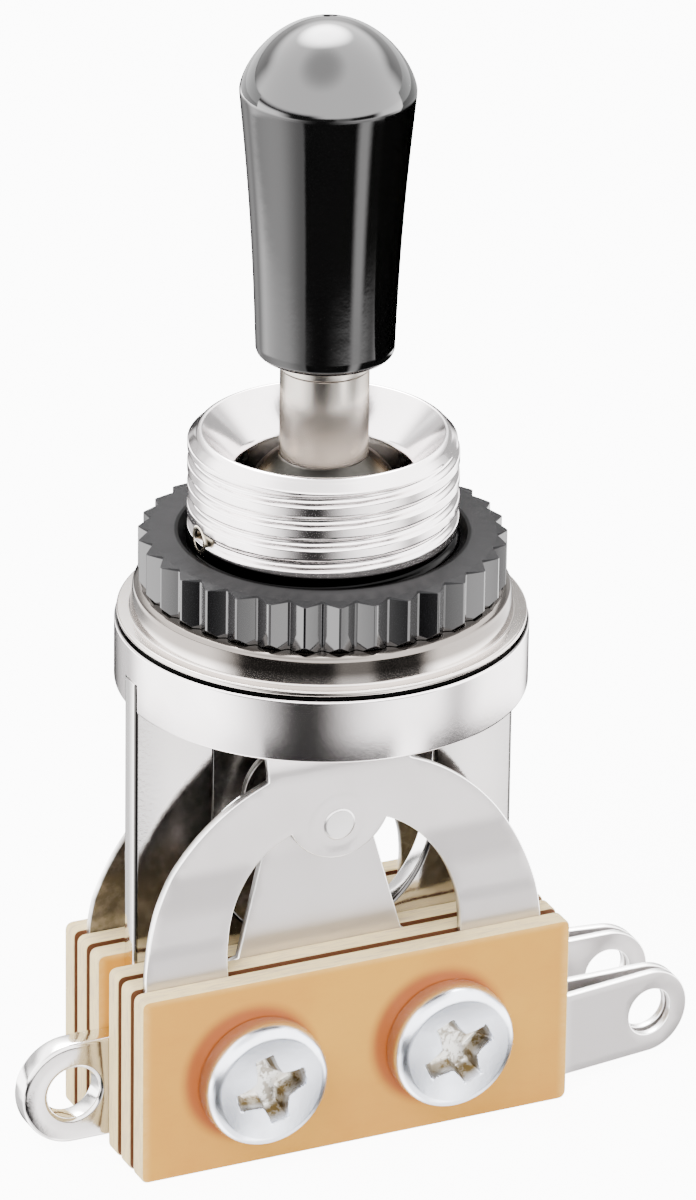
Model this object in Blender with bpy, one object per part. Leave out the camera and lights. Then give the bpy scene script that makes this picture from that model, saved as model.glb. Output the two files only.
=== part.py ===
"""Three-way toggle switch with a threaded bushing, a ring nut and two leaf contact stacks.

Frame: the origin lies on the bushing's axis, in the plane where the panel rests on the collar.
+Z runs up along the bushing, X runs along the contact plates, and -Y is the front.
Sizes below are in millimetres and are turned into metres when a mesh is made.
"""

import math

import bmesh
import bpy
from mathutils import Matrix, Vector

MM = 0.001

# Fits between pieces
SEAT_GAP = 0.02
RUNNING_GAP = 0.05
BORE_GAP = 0.04

# Threaded bushing
THREAD_RADIUS = 6.0
THREAD_DEPTH = 0.42
THREAD_PITCH = 1.02
THREAD_START = 1.55
BUSHING_RISE = 7.2
RIM_CHAMFER = 0.5
MOUTH_RADIUS = 5.36
THROAT_RADIUS = 3.83
FUNNEL_DEPTH = 1.8
BUSHING_FLANGE_SHARE = 0.37
BUSHING_FOOT_THICKNESS = 0.8

# Lever
PIVOT_HEIGHT = 2.9
PIVOT_PIN_RADIUS = 0.9
BALL_RADIUS = 3.74
SHAFT_RADIUS = 1.97
SHAFT_COLLAR_STEP = 0.08
SHAFT_COLLAR_HEIGHT = 0.65
SPIGOT_RADIUS = 1.45
SPIGOT_LENGTH = 9.0
STEM_RADIUS = 1.35
STEM_TAIL_RADIUS = 0.8
BEAD_RADIUS = 1.62
BEAD_LENGTH = 3.1
BEAD_MIDDLE_DROP = 6.1

# Toggle tip
TIP_BOTTOM = 10.88
TIP_LENGTH = 12.22
TIP_FOOT_RADIUS = 3.05
TIP_CREASE_RADIUS = 3.86
TIP_WAIST_SAG = 0.12
TIP_FOOT_ROUND = 0.25
TIP_DOME_HEIGHT = 3.25
TIP_DOME_FULLNESS = 1.5

# Ring nut
NUT_RADIUS = 8.17
NUT_THICKNESS = 2.35
NUT_TOOTH_COUNT = 33
NUT_TOOTH_DEPTH = 0.48
NUT_EDGE_CHAMFER = 0.3
NUT_MOUTH_STEP = 0.35
NUT_MOUTH_DEPTH = 0.25

# Collar disc under the nut
COLLAR_CONE_WIDTH = 0.4
COLLAR_RISE = 1.3
BRIM_WIDTH = 0.6
BRIM_INSET = 0.1
BRIM_THICKNESS = 0.28

# Cup
CUP_RADIUS = 9.2
CUP_WALL = 0.75
CUP_HEIGHT = 3.1
CUP_ROOF = 0.85
CUP_EDGE_ROUND = 0.22
CUP_SLOT_HEADROOM = 0.85

# Frame plate
FRAME_THICKNESS = 1.2
LEG_STANDOUT = 0.07
FRAME_WINDOW_RADIUS = 5.36
FRAME_WINDOW_SINK = 0.6
FRAME_FOOT_RISE = 0.15
GROUND_LUG_REACH = 12.15
GROUND_LUG_RADIUS = 2.45
GROUND_LUG_RISE = 3.1
GROUND_HOLE_RADIUS = 1.25

# Contact stacks
STACK_TOP_DROP = 16.95
STACK_SHIFT = -0.2
PLATE_WIDTH = 21.0
PLATE_HEIGHT = 9.05
PLATE_THICKNESS = 0.95
PLATE_CORNER = 0.65
LEAF_THICKNESS = 0.4
SCREW_SPACING = 9.2
SCREW_SINK = 0.25

# Arch leaf
ARCH_RADIUS = 9.7
ARCH_BAND = 4.0
ARCH_CENTRE_SINK = 0.35
ARCH_INNER_RISE = 1.1
TAB_WIDTH = 6.9
TAB_TOP_DROP = 4.9
LOBE_RADIUS = 2.55
LOBE_RISE = 0.95
CONTACT_DROP = 10.9
ARCH_LEAN = 0.78
TAB_STEP = 0.36
TAB_STEP_SINK = 0.3
TAB_STEP_HEIGHT = 1.0
TAB_FLARE = 0.3
TAB_FLARE_HEIGHT = 0.7

# Tongue leaf
TONGUE_SHIFT = -0.8
TONGUE_ROOT_HALF = 4.0
TONGUE_TIP_RADIUS = 2.3
TONGUE_LEAN = 0.3
TONGUE_STRIP_SINK = 1.25

# Solder lugs of the leaves
LUG_REACH = 15.5
LUG_RADIUS = 2.0
LUG_HOLE_RADIUS = 1.12
LUG_FOOT_RISE = 0.6

# Contact rivets
RIVET_SHANK_RADIUS = 0.55
RIVET_OUTER_RADIUS = 0.8
RIVET_OUTER_HEIGHT = 0.16
RIVET_CONTACT_RADIUS = 1.05
CONTACT_FLAT = 0.15

# Fasteners through the stacks
SCREW_SHANK_RADIUS = 1.45
SCREW_HEAD_RADIUS = 2.95
SCREW_HEAD_HEIGHT = 1.55
SCREW_HEAD_CROWN = 0.5
RECESS_HALF_LENGTH = 1.8
RECESS_HALF_WIDTH = 0.42
RECESS_DEPTH = 1.05
RECESS_TAPER = 0.65
LEFT_SCREW_TURN = 14.0
RIGHT_SCREW_TURN = 26.0
SCREW_TAIL = 0.7
SCREW_NUT_FLATS = 5.5
SCREW_NUT_THICKNESS = 2.3
SLEEVE_WALL = 0.45

# Facets round a full turn
SEGMENTS_BUSHING = 40
SEGMENTS_COVER = 48
SEGMENTS_TIP = 36
SEGMENTS_LEVER = 28
SEGMENTS_SMALL = 18
SEGMENTS_SCREW = 26

# Widths that follow from the cup
CUP_INNER_RADIUS = CUP_RADIUS - CUP_WALL
BRIM_RADIUS = CUP_RADIUS - BRIM_INSET
COLLAR_FOOT_RADIUS = BRIM_RADIUS - BRIM_WIDTH
COLLAR_TOP_RADIUS = COLLAR_FOOT_RADIUS - COLLAR_CONE_WIDTH
FRAME_HALF_WIDTH = CUP_RADIUS + LEG_STANDOUT
BUSHING_FOOT_RADIUS = THREAD_RADIUS + BUSHING_FLANGE_SHARE * (CUP_INNER_RADIUS - THREAD_RADIUS)

# Heights and depths that follow from the sizes above
COLLAR_BOTTOM = -(COLLAR_RISE + BRIM_THICKNESS)
CUP_TOP = COLLAR_BOTTOM - SEAT_GAP
CUP_BOTTOM = CUP_TOP - CUP_HEIGHT
CUP_CEILING = CUP_TOP - CUP_ROOF
BUSHING_FOOT = CUP_CEILING - SEAT_GAP - BUSHING_FOOT_THICKNESS
STACK_TOP = -STACK_TOP_DROP
STACK_BOTTOM = STACK_TOP - PLATE_HEIGHT
SCREW_HEIGHT = STACK_TOP - PLATE_HEIGHT / 2 - SCREW_SINK
PLATE_HALF = PLATE_WIDTH / 2
SLEEVE_RADIUS = SCREW_SHANK_RADIUS + BORE_GAP + SLEEVE_WALL
SLEEVE_HOLE_RADIUS = SLEEVE_RADIUS + BORE_GAP
INNER_PLATE_FACE = FRAME_THICKNESS / 2 + SEAT_GAP
TONGUE_FACE = INNER_PLATE_FACE + PLATE_THICKNESS + SEAT_GAP
MIDDLE_PLATE_FACE = TONGUE_FACE + LEAF_THICKNESS + SEAT_GAP
ARCH_FACE = MIDDLE_PLATE_FACE + PLATE_THICKNESS + SEAT_GAP
OUTER_PLATE_FACE = ARCH_FACE + LEAF_THICKNESS + SEAT_GAP
STACK_HALF_DEPTH = OUTER_PLATE_FACE + PLATE_THICKNESS
LUG_MIDDLE = STACK_BOTTOM + LUG_FOOT_RISE + LUG_RADIUS
LUG_FOOT = LUG_MIDDLE - LUG_RADIUS
CONTACT_HEIGHT = -CONTACT_DROP
TAB_TOP = -TAB_TOP_DROP


def clear_scene():
    """Removes every object so that the part starts from nothing."""
    for item in list(bpy.data.objects):
        bpy.data.objects.remove(item, do_unlink=True)


def make_material(name, colour, metallic, roughness):
    """Returns a Principled material with the given colour and finish."""
    material = bpy.data.materials.new(name)
    material.use_nodes = True
    shader = material.node_tree.nodes["Principled BSDF"]
    shader.inputs["Base Color"].default_value = (*colour, 1.0)
    shader.inputs["Metallic"].default_value = metallic
    shader.inputs["Roughness"].default_value = roughness
    material.diffuse_color = (*colour, 1.0)
    return material


def add_mesh_object(name, mesh_data, material):
    """Scales a mesh given in millimetres to metres and links it as an object."""
    bmesh.ops.remove_doubles(mesh_data, verts=mesh_data.verts, dist=1e-5)
    bmesh.ops.recalc_face_normals(mesh_data, faces=mesh_data.faces)
    bmesh.ops.scale(mesh_data, vec=(MM, MM, MM), verts=mesh_data.verts)
    mesh = bpy.data.meshes.new(name)
    mesh_data.to_mesh(mesh)
    mesh_data.free()
    if material is not None:
        mesh.materials.append(material)
    item = bpy.data.objects.new(name, mesh)
    bpy.context.collection.objects.link(item)
    return item


def smooth(item, angle=35.0):
    """Shades round faces smooth and keeps corners sharper than the angle crisp."""
    for face in item.data.polygons:
        face.use_smooth = True
    item.data.set_sharp_from_angle(angle=math.radians(angle))
    return item


def arc(centre_x, centre_z, radius, start, end, count):
    """Returns points along a circle between two angles in degrees, ends included."""
    points = []
    for index in range(count + 1):
        angle = math.radians(start + (end - start) * index / count)
        points.append((centre_x + radius * math.cos(angle), centre_z + radius * math.sin(angle)))
    return points


def height_on_circle(radius, centre_z, x):
    """Returns the height where a circle about the middle line passes the given x."""
    return centre_z + math.sqrt(max(radius * radius - x * x, 0.0))


def turned_mesh(profile, segments, along="Z", centre=(0.0, 0.0, 0.0)):
    """Spins a closed (radius, height) profile round an axis and returns the bmesh."""
    mesh_data = bmesh.new()
    axis = Vector((0.0, 0.0, 1.0))
    verts = [mesh_data.verts.new((radius, 0.0, height)) for radius, height in profile]
    edges = []
    for index, vert in enumerate(verts):
        edges.append(mesh_data.edges.new((vert, verts[(index + 1) % len(verts)])))
    bmesh.ops.spin(mesh_data, geom=verts + edges, cent=(0.0, 0.0, 0.0), axis=axis,
                   angle=math.tau, steps=round(segments), use_merge=True)
    bmesh.ops.remove_doubles(mesh_data, verts=mesh_data.verts, dist=1e-5)
    bmesh.ops.dissolve_degenerate(mesh_data, edges=mesh_data.edges, dist=1e-6)
    drop_loose_parts(mesh_data)
    lay_along(mesh_data, along)
    bmesh.ops.translate(mesh_data, vec=centre, verts=mesh_data.verts)
    return mesh_data


def drop_loose_parts(mesh_data):
    """Deletes edges and points that bound no face, such as those on a spin axis."""
    loose_edges = [edge for edge in mesh_data.edges if not edge.link_faces]
    bmesh.ops.delete(mesh_data, geom=loose_edges, context="EDGES")
    loose_verts = [vert for vert in mesh_data.verts if not vert.link_faces]
    bmesh.ops.delete(mesh_data, geom=loose_verts, context="VERTS")


def lay_along(mesh_data, along):
    """Turns a mesh built along +Z so that it runs along -Y, +Y or +X."""
    turns = {"-Y": (math.radians(90), "X"), "+Y": (math.radians(-90), "X"), "+X": (math.radians(90), "Y")}
    if along not in turns:
        return
    angle, axis = turns[along]
    bmesh.ops.rotate(mesh_data, cent=(0, 0, 0), matrix=Matrix.Rotation(angle, 3, axis), verts=mesh_data.verts)


def sheet_mesh(outlines, near, far):
    """Fills closed XZ outlines, the first the rim and the rest holes, between two depths."""
    curve = bpy.data.curves.new("outline", "CURVE")
    curve.dimensions = "2D"
    curve.fill_mode = "BOTH"
    curve.extrude = abs(far - near) / 2
    for points in outlines:
        spline = curve.splines.new("POLY")
        spline.points.add(len(points) - 1)
        for target, (x, z) in zip(spline.points, points):
            target.co = (x, z, 0.0, 1.0)
        spline.use_cyclic_u = True
    holder = bpy.data.objects.new("outline", curve)
    flat = bpy.data.meshes.new_from_object(holder)
    mesh_data = bmesh.new()
    mesh_data.from_mesh(flat)
    bmesh.ops.remove_doubles(mesh_data, verts=mesh_data.verts, dist=1e-4)
    upright = Matrix.Rotation(math.radians(90), 3, "X")
    bmesh.ops.rotate(mesh_data, cent=(0, 0, 0), matrix=upright, verts=mesh_data.verts)
    bmesh.ops.translate(mesh_data, vec=(0, (near + far) / 2, 0), verts=mesh_data.verts)
    bpy.data.objects.remove(holder)
    bpy.data.curves.remove(curve)
    bpy.data.meshes.remove(flat)
    return mesh_data


def circle_outline(x, z, radius, count=SEGMENTS_SMALL):
    """Returns a closed circle of points in the XZ plane."""
    return arc(x, z, radius, 0.0, 360.0, count)[:-1]


def rounded_rectangle(left, right, bottom, top, corner):
    """Returns a closed outline with four equally rounded corners."""
    points = arc(right - corner, top - corner, corner, 0, 90, 3)
    points += arc(left + corner, top - corner, corner, 90, 180, 3)
    points += arc(left + corner, bottom + corner, corner, 180, 270, 3)
    points += arc(right - corner, bottom + corner, corner, 270, 360, 3)
    return points


def split_and_shift(mesh_data, bend_lines, along, amount):
    """Cuts the mesh at bend lines and moves each point in depth by a function of its place."""
    normal = Vector((1, 0, 0)) if along == "X" else Vector((0, 0, 1))
    for place in bend_lines:
        geometry = mesh_data.verts[:] + mesh_data.edges[:] + mesh_data.faces[:]
        bmesh.ops.bisect_plane(mesh_data, geom=geometry, dist=1e-6, plane_co=normal * place,
                               plane_no=normal)
    for vert in mesh_data.verts:
        vert.co.y += amount(vert.co.x if along == "X" else vert.co.z)


def between(places, values, place):
    """Reads a chain of straight lines given by its corners at one place."""
    if place <= places[0]:
        return values[0]
    for index in range(1, len(places)):
        if place <= places[index]:
            share = (place - places[index - 1]) / (places[index] - places[index - 1])
            return values[index - 1] + share * (values[index] - values[index - 1])
    return values[-1]


def cut(target, cutter):
    """Takes the cutter's volume out of the target and keeps the cutter out of sight."""
    modifier = target.modifiers.new("cut_" + cutter.name, "BOOLEAN")
    modifier.operation = "DIFFERENCE"
    modifier.solver = "EXACT"
    modifier.object = cutter
    cutter.hide_render = True
    cutter.display_type = "WIRE"


def keep_inside(target, limiter):
    """Keeps only the part of the target that lies inside the limiter."""
    modifier = target.modifiers.new("keep_" + limiter.name, "BOOLEAN")
    modifier.operation = "INTERSECT"
    modifier.solver = "EXACT"
    modifier.object = limiter
    limiter.hide_render = True
    limiter.display_type = "WIRE"


def thread_profile(top):
    """Returns the outline of the thread crests and roots from low to high."""
    root = THREAD_RADIUS - THREAD_DEPTH
    points = []
    height = THREAD_START
    while height + THREAD_PITCH < top:
        points.append((THREAD_RADIUS, height))
        points.append((root, height + THREAD_PITCH * 0.36))
        points.append((root, height + THREAD_PITCH * 0.5))
        points.append((THREAD_RADIUS, height + THREAD_PITCH * 0.86))
        height += THREAD_PITCH
    return points


def make_bushing(material):
    """Turned bushing: inner foot, plain neck in the cup, ring threads, rim and funnel."""
    foot_top = CUP_CEILING - SEAT_GAP
    foot_bottom = BUSHING_FOOT
    chamfer_height = BUSHING_RISE - RIM_CHAMFER
    bore = THROAT_RADIUS
    profile = [(bore, foot_bottom), (BUSHING_FOOT_RADIUS, foot_bottom), (BUSHING_FOOT_RADIUS, foot_top)]
    profile += [(THREAD_RADIUS, foot_top)]
    profile += thread_profile(chamfer_height)
    profile += [(THREAD_RADIUS, chamfer_height), (THREAD_RADIUS - RIM_CHAMFER, BUSHING_RISE)]
    profile += [(MOUTH_RADIUS, BUSHING_RISE), (THROAT_RADIUS, BUSHING_RISE - FUNNEL_DEPTH)]
    bushing = add_mesh_object("bushing", turned_mesh(profile, SEGMENTS_BUSHING), material)
    hole_radius = PIVOT_PIN_RADIUS + BORE_GAP
    reach = THREAD_RADIUS + 1.0
    hole_profile = [(0.0, -reach), (hole_radius, -reach), (hole_radius, reach), (0.0, reach)]
    hole = turned_mesh(hole_profile, SEGMENTS_SMALL, "+X", (0, 0, PIVOT_HEIGHT))
    cut(bushing, add_mesh_object("cutter_bushing_pin", hole, None))
    return smooth(bushing)


def make_pivot_pin(material):
    """Cross pin through the bushing and the lever's ball, with peened ends."""
    reach = THREAD_RADIUS - THREAD_DEPTH * 0.3
    crown = PIVOT_PIN_RADIUS * 0.25
    shoulder = PIVOT_PIN_RADIUS * 0.75
    profile = [(0.0, -reach), (shoulder, -reach + crown * 0.3), (PIVOT_PIN_RADIUS, -reach + crown)]
    profile += [(PIVOT_PIN_RADIUS, reach - crown), (shoulder, reach - crown * 0.3), (0.0, reach)]
    pin = turned_mesh(profile, SEGMENTS_SMALL, "+X", (0, 0, PIVOT_HEIGHT))
    return smooth(add_mesh_object("pivot_pin", pin, material))


def ball_profile(lower_radius, upper_radius, count):
    """Returns the ball's outline between the stem below and the shaft above."""
    low = -math.degrees(math.acos(min(lower_radius / BALL_RADIUS, 1.0)))
    high = math.degrees(math.acos(min(upper_radius / BALL_RADIUS, 1.0)))
    return arc(0.0, PIVOT_HEIGHT, BALL_RADIUS, low, high, count)


def make_lever(material):
    """Turned lever: shaft with a spigot for the tip, pivot ball, stem and tail for the bead."""
    bead_top = -BEAD_MIDDLE_DROP + BEAD_LENGTH / 2
    bead_bottom = -BEAD_MIDDLE_DROP - BEAD_LENGTH / 2
    shaft_top = TIP_BOTTOM - SEAT_GAP
    collar_radius = SHAFT_RADIUS + SHAFT_COLLAR_STEP
    collar_bottom = shaft_top - SHAFT_COLLAR_HEIGHT
    profile = [(0.0, bead_bottom + SEAT_GAP), (STEM_TAIL_RADIUS, bead_bottom + SEAT_GAP)]
    profile += [(STEM_TAIL_RADIUS, bead_top + SEAT_GAP), (STEM_RADIUS, bead_top + SEAT_GAP)]
    profile += ball_profile(STEM_RADIUS, SHAFT_RADIUS, 10)
    profile += [(SHAFT_RADIUS, collar_bottom), (collar_radius, collar_bottom + SHAFT_COLLAR_STEP)]
    profile += [(collar_radius, shaft_top), (SPIGOT_RADIUS, shaft_top)]
    profile += [(SPIGOT_RADIUS, shaft_top + SPIGOT_LENGTH), (0.0, shaft_top + SPIGOT_LENGTH)]
    lever = add_mesh_object("lever", turned_mesh(profile, SEGMENTS_LEVER), material)
    hole_radius = PIVOT_PIN_RADIUS + RUNNING_GAP
    reach = BALL_RADIUS + 1.0
    hole_profile = [(0.0, -reach), (hole_radius, -reach), (hole_radius, reach), (0.0, reach)]
    hole = turned_mesh(hole_profile, SEGMENTS_SMALL, "+X", (0, 0, PIVOT_HEIGHT))
    cut(lever, add_mesh_object("cutter_lever_pin", hole, None))
    return smooth(lever)


def make_lever_bead(material):
    """Barrel-shaped insulating bead on the lever's tail, which pushes the leaf tabs."""
    half = BEAD_LENGTH / 2
    bore = STEM_TAIL_RADIUS + BORE_GAP
    end_radius = BEAD_RADIUS * 0.72
    shoulder_radius = BEAD_RADIUS * 0.94
    profile = [(bore, -half), (end_radius, -half), (shoulder_radius, -half * 0.6), (BEAD_RADIUS, 0.0)]
    profile += [(shoulder_radius, half * 0.6), (end_radius, half), (bore, half)]
    bead = turned_mesh(profile, SEGMENTS_SMALL, "Z", (0, 0, -BEAD_MIDDLE_DROP))
    return smooth(add_mesh_object("lever_bead", bead, material), 45.0)


def make_toggle_tip(material):
    """Flared grip with a waisted side, a crisp crease and a domed top, bored for the spigot."""
    bore = SPIGOT_RADIUS + BORE_GAP
    bore_top = TIP_BOTTOM + SPIGOT_LENGTH + SEAT_GAP
    foot = TIP_FOOT_ROUND
    profile = [(0.0, bore_top), (bore, bore_top), (bore, TIP_BOTTOM)]
    profile += arc(TIP_FOOT_RADIUS - foot, TIP_BOTTOM + foot, foot, -90, 0, 3)
    steps = 7
    for index in range(1, steps + 1):
        share = index / steps
        straight = TIP_FOOT_RADIUS + (TIP_CREASE_RADIUS - TIP_FOOT_RADIUS) * share
        sag = TIP_WAIST_SAG * math.sin(math.pi * share)
        profile.append((straight - sag, TIP_BOTTOM + foot + (TIP_LENGTH - foot) * share))
    crease_height = TIP_BOTTOM + TIP_LENGTH
    for index in range(1, 8):
        angle = math.radians(90.0 * index / 8)
        rise = TIP_DOME_HEIGHT * math.sin(angle) ** (2.0 / TIP_DOME_FULLNESS)
        profile.append((TIP_CREASE_RADIUS * math.cos(angle), crease_height + rise))
    profile.append((0.0, crease_height + TIP_DOME_HEIGHT))
    tip = add_mesh_object("toggle_tip", turned_mesh(profile, SEGMENTS_TIP), material)
    return smooth(tip, 24.0)


def star_outline(outer, inner, count):
    """Returns a closed outline of straight-sided teeth round the Z axis."""
    points = []
    for index in range(count * 2):
        radius = outer if index % 2 == 0 else inner
        angle = math.pi * index / count
        points.append((radius * math.cos(angle), radius * math.sin(angle)))
    return points


def make_ring_nut(material):
    """Ring nut: straight V teeth all round, trimmed by a chamfered blank, with a coned mouth."""
    bore = THREAD_RADIUS + RUNNING_GAP
    bottom = SEAT_GAP
    top = bottom + NUT_THICKNESS
    blank_profile = [(bore, bottom), (NUT_RADIUS - NUT_EDGE_CHAMFER, bottom)]
    blank_profile += [(NUT_RADIUS, bottom + NUT_EDGE_CHAMFER), (NUT_RADIUS, top - NUT_EDGE_CHAMFER * 0.3)]
    blank_profile += [(NUT_RADIUS - NUT_EDGE_CHAMFER * 0.3, top), (bore + NUT_MOUTH_STEP, top)]
    blank_profile += [(bore, top - NUT_MOUTH_DEPTH)]
    nut = add_mesh_object("ring_nut", turned_mesh(blank_profile, NUT_TOOTH_COUNT * 2), material)
    star = bmesh.new()
    crest = NUT_RADIUS / math.cos(math.pi / (2 * NUT_TOOTH_COUNT)) + 0.02
    outline = star_outline(crest, NUT_RADIUS - NUT_TOOTH_DEPTH, NUT_TOOTH_COUNT)
    face = star.faces.new([star.verts.new((x, y, bottom - 1.0)) for x, y in outline])
    grown = bmesh.ops.extrude_face_region(star, geom=[face])
    lifted = [item for item in grown["geom"] if isinstance(item, bmesh.types.BMVert)]
    bmesh.ops.translate(star, vec=(0, 0, NUT_THICKNESS + 2.0), verts=lifted)
    keep_inside(nut, add_mesh_object("limiter_nut_teeth", star, None))
    return nut


def make_collar_disc(material):
    """Collar under the nut: a raised seat with a coned side and a thin brim."""
    bore = THREAD_RADIUS + BORE_GAP
    edge = BRIM_THICKNESS * 0.3
    profile = [(bore, COLLAR_BOTTOM), (BRIM_RADIUS - edge, COLLAR_BOTTOM), (BRIM_RADIUS, COLLAR_BOTTOM + edge)]
    profile += [(BRIM_RADIUS, -COLLAR_RISE - edge), (BRIM_RADIUS - edge, -COLLAR_RISE)]
    profile += [(COLLAR_FOOT_RADIUS, -COLLAR_RISE), (COLLAR_TOP_RADIUS, -edge)]
    profile += [(COLLAR_TOP_RADIUS - edge, 0.0), (bore, 0.0)]
    return smooth(add_mesh_object("collar_disc", turned_mesh(profile, SEGMENTS_COVER), material), 30.0)


def make_frame_cup(material):
    """Shallow drawn cup with a rounded shoulder and two slots for the frame plate's legs."""
    bore = THREAD_RADIUS + BORE_GAP
    inner = CUP_INNER_RADIUS
    shoulder = arc(CUP_RADIUS - CUP_EDGE_ROUND, CUP_TOP - CUP_EDGE_ROUND, CUP_EDGE_ROUND, 0, 90, 3)
    profile = [(bore, CUP_CEILING), (inner, CUP_CEILING), (inner, CUP_BOTTOM), (CUP_RADIUS, CUP_BOTTOM)]
    profile += shoulder + [(bore, CUP_TOP)]
    cup = add_mesh_object("frame_cup", turned_mesh(profile, SEGMENTS_COVER), material)
    slot = bmesh.new()
    bmesh.ops.create_cube(slot, size=1.0)
    slot_top = CUP_CEILING - CUP_SLOT_HEADROOM
    slot_height = slot_top - CUP_BOTTOM + 1.0
    slot_width = FRAME_THICKNESS + 2 * RUNNING_GAP
    bmesh.ops.scale(slot, vec=(2 * CUP_RADIUS + 4.0, slot_width, slot_height), verts=slot.verts)
    bmesh.ops.translate(slot, vec=(0, 0, slot_top - slot_height / 2), verts=slot.verts)
    cut(cup, add_mesh_object("cutter_cup_slots", slot, None))
    return smooth(cup, 30.0)


def frame_plate_outline():
    """Returns the frame plate's rim: two stepped legs, a round-bottomed window and a ground lug."""
    leg_top = CUP_CEILING - CUP_SLOT_HEADROOM - SEAT_GAP
    inner_leg_top = CUP_CEILING - SEAT_GAP
    step = CUP_INNER_RADIUS - RUNNING_GAP * 2
    foot = STACK_BOTTOM + FRAME_FOOT_RISE
    window = FRAME_WINDOW_RADIUS
    window_middle = STACK_TOP - FRAME_WINDOW_SINK + window
    lug_middle = STACK_BOTTOM + GROUND_LUG_RISE
    edge = FRAME_HALF_WIDTH
    notch = BUSHING_FOOT_RADIUS + RUNNING_GAP * 2
    notch_floor = BUSHING_FOOT - RUNNING_GAP * 2
    leg_corners = [(edge, leg_top), (step, leg_top), (step, inner_leg_top), (notch, inner_leg_top)]
    leg_corners += [(notch, notch_floor), (window, notch_floor)]
    rim = [(edge, foot)] + leg_corners
    rim += arc(0.0, window_middle, window, 0, -180, 20)
    rim += [(-x, z) for x, z in reversed(leg_corners)]
    rim += [(-edge, lug_middle + GROUND_LUG_RADIUS)]
    rim += arc(-GROUND_LUG_REACH, lug_middle, GROUND_LUG_RADIUS, 90, 270, 12)
    rim += [(-edge, lug_middle - GROUND_LUG_RADIUS), (-edge, foot)]
    return rim


def make_frame_plate(material):
    """Flat frame plate that hangs from the cup and carries the stacks and the ground lug."""
    lug_middle = STACK_BOTTOM + GROUND_LUG_RISE
    outlines = [frame_plate_outline(), circle_outline(-GROUND_LUG_REACH, lug_middle, GROUND_HOLE_RADIUS)]
    outlines += screw_hole_outlines(SLEEVE_HOLE_RADIUS)
    sheet = sheet_mesh(outlines, -FRAME_THICKNESS / 2, FRAME_THICKNESS / 2)
    return add_mesh_object("frame_plate", sheet, material)


def screw_place(side):
    """Returns the x of the left (-1) or right (1) screw."""
    return STACK_SHIFT + side * SCREW_SPACING / 2


def screw_hole_outlines(radius):
    """Returns the two screw holes of a stack piece as closed circles."""
    return [circle_outline(screw_place(side), SCREW_HEIGHT, radius) for side in (-1, 1)]


def make_plate(name, side, face, hole_radius, material):
    """Insulating plate whose inner face lies at the given depth on the front or rear side."""
    rim = rounded_rectangle(-PLATE_HALF, PLATE_HALF, STACK_BOTTOM, STACK_TOP, PLATE_CORNER)
    outlines = [rim] + screw_hole_outlines(hole_radius)
    sheet = sheet_mesh(outlines, side * face, side * (face + PLATE_THICKNESS))
    return add_mesh_object(name, sheet, material)


def lug_outline():
    """Returns the solder lug's rim from its lower root round its end to its upper root."""
    return arc(LUG_REACH, LUG_MIDDLE, LUG_RADIUS, -90, 90, 10)


def arch_rim():
    """Returns the arch leaf's outer rim: root strip, lug, round shoulders and the top tab."""
    centre = STACK_TOP - ARCH_CENTRE_SINK
    half_tab = TAB_WIDTH / 2
    tab_foot = height_on_circle(ARCH_RADIUS, centre, half_tab)
    start = math.degrees(math.asin(min((tab_foot - centre) / ARCH_RADIUS, 1.0)))
    rim = [(STACK_SHIFT - ARCH_RADIUS, LUG_FOOT)] + lug_outline()
    rim += [(STACK_SHIFT + ARCH_RADIUS, LUG_MIDDLE + LUG_RADIUS)]
    rim += arc(STACK_SHIFT, centre, ARCH_RADIUS, 0, start, 14)
    rim += [(STACK_SHIFT + half_tab, TAB_TOP), (STACK_SHIFT - half_tab, TAB_TOP)]
    rim += arc(STACK_SHIFT, centre, ARCH_RADIUS, 180 - start, 180, 14)
    return rim


def arch_window():
    """Returns the arch leaf's window: an inner arch with a round lobe left for the contact."""
    radius = ARCH_RADIUS - ARCH_BAND
    centre = STACK_TOP - ARCH_CENTRE_SINK + ARCH_INNER_RISE
    lobe_centre = CONTACT_HEIGHT + LOBE_RISE
    foot = STACK_TOP - PLATE_CORNER
    difference = LOBE_RADIUS ** 2 - radius ** 2 + centre ** 2 - lobe_centre ** 2
    cusp_height = difference / (2 * (centre - lobe_centre))
    cusp_x = math.sqrt(max(radius ** 2 - (cusp_height - centre) ** 2, 0.0))
    rise = math.degrees(math.atan2(cusp_height - centre, cusp_x))
    dip = math.degrees(math.atan2(cusp_height - lobe_centre, cusp_x))
    window = [(STACK_SHIFT - radius, foot), (STACK_SHIFT + radius, foot)]
    window += arc(STACK_SHIFT, centre, radius, 0, rise, 10)
    window += arc(STACK_SHIFT, lobe_centre, LOBE_RADIUS, dip, -180 - dip, 10)[1:-1]
    window += arc(STACK_SHIFT, centre, radius, 180 - rise, 180, 10)
    return window


def arch_bends():
    """Returns the heights where the arch leaf bends and how far it lies inward at each."""
    flat_foot = CONTACT_HEIGHT - RIVET_CONTACT_RADIUS - CONTACT_FLAT
    rise = flat_foot - STACK_TOP
    step_foot = STACK_TOP - ARCH_CENTRE_SINK + ARCH_RADIUS - TAB_STEP_SINK
    step_head = step_foot + TAB_STEP_HEIGHT
    full = ARCH_LEAN + TAB_STEP
    heights = [STACK_TOP, STACK_TOP + rise * 0.33, STACK_TOP + rise * 0.67, flat_foot]
    heights += [step_foot, step_head, TAB_TOP - TAB_FLARE_HEIGHT, TAB_TOP]
    inward = [0.0, ARCH_LEAN * 0.2, ARCH_LEAN * 0.65, ARCH_LEAN, ARCH_LEAN, full, full, full - TAB_FLARE]
    return heights, inward


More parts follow.
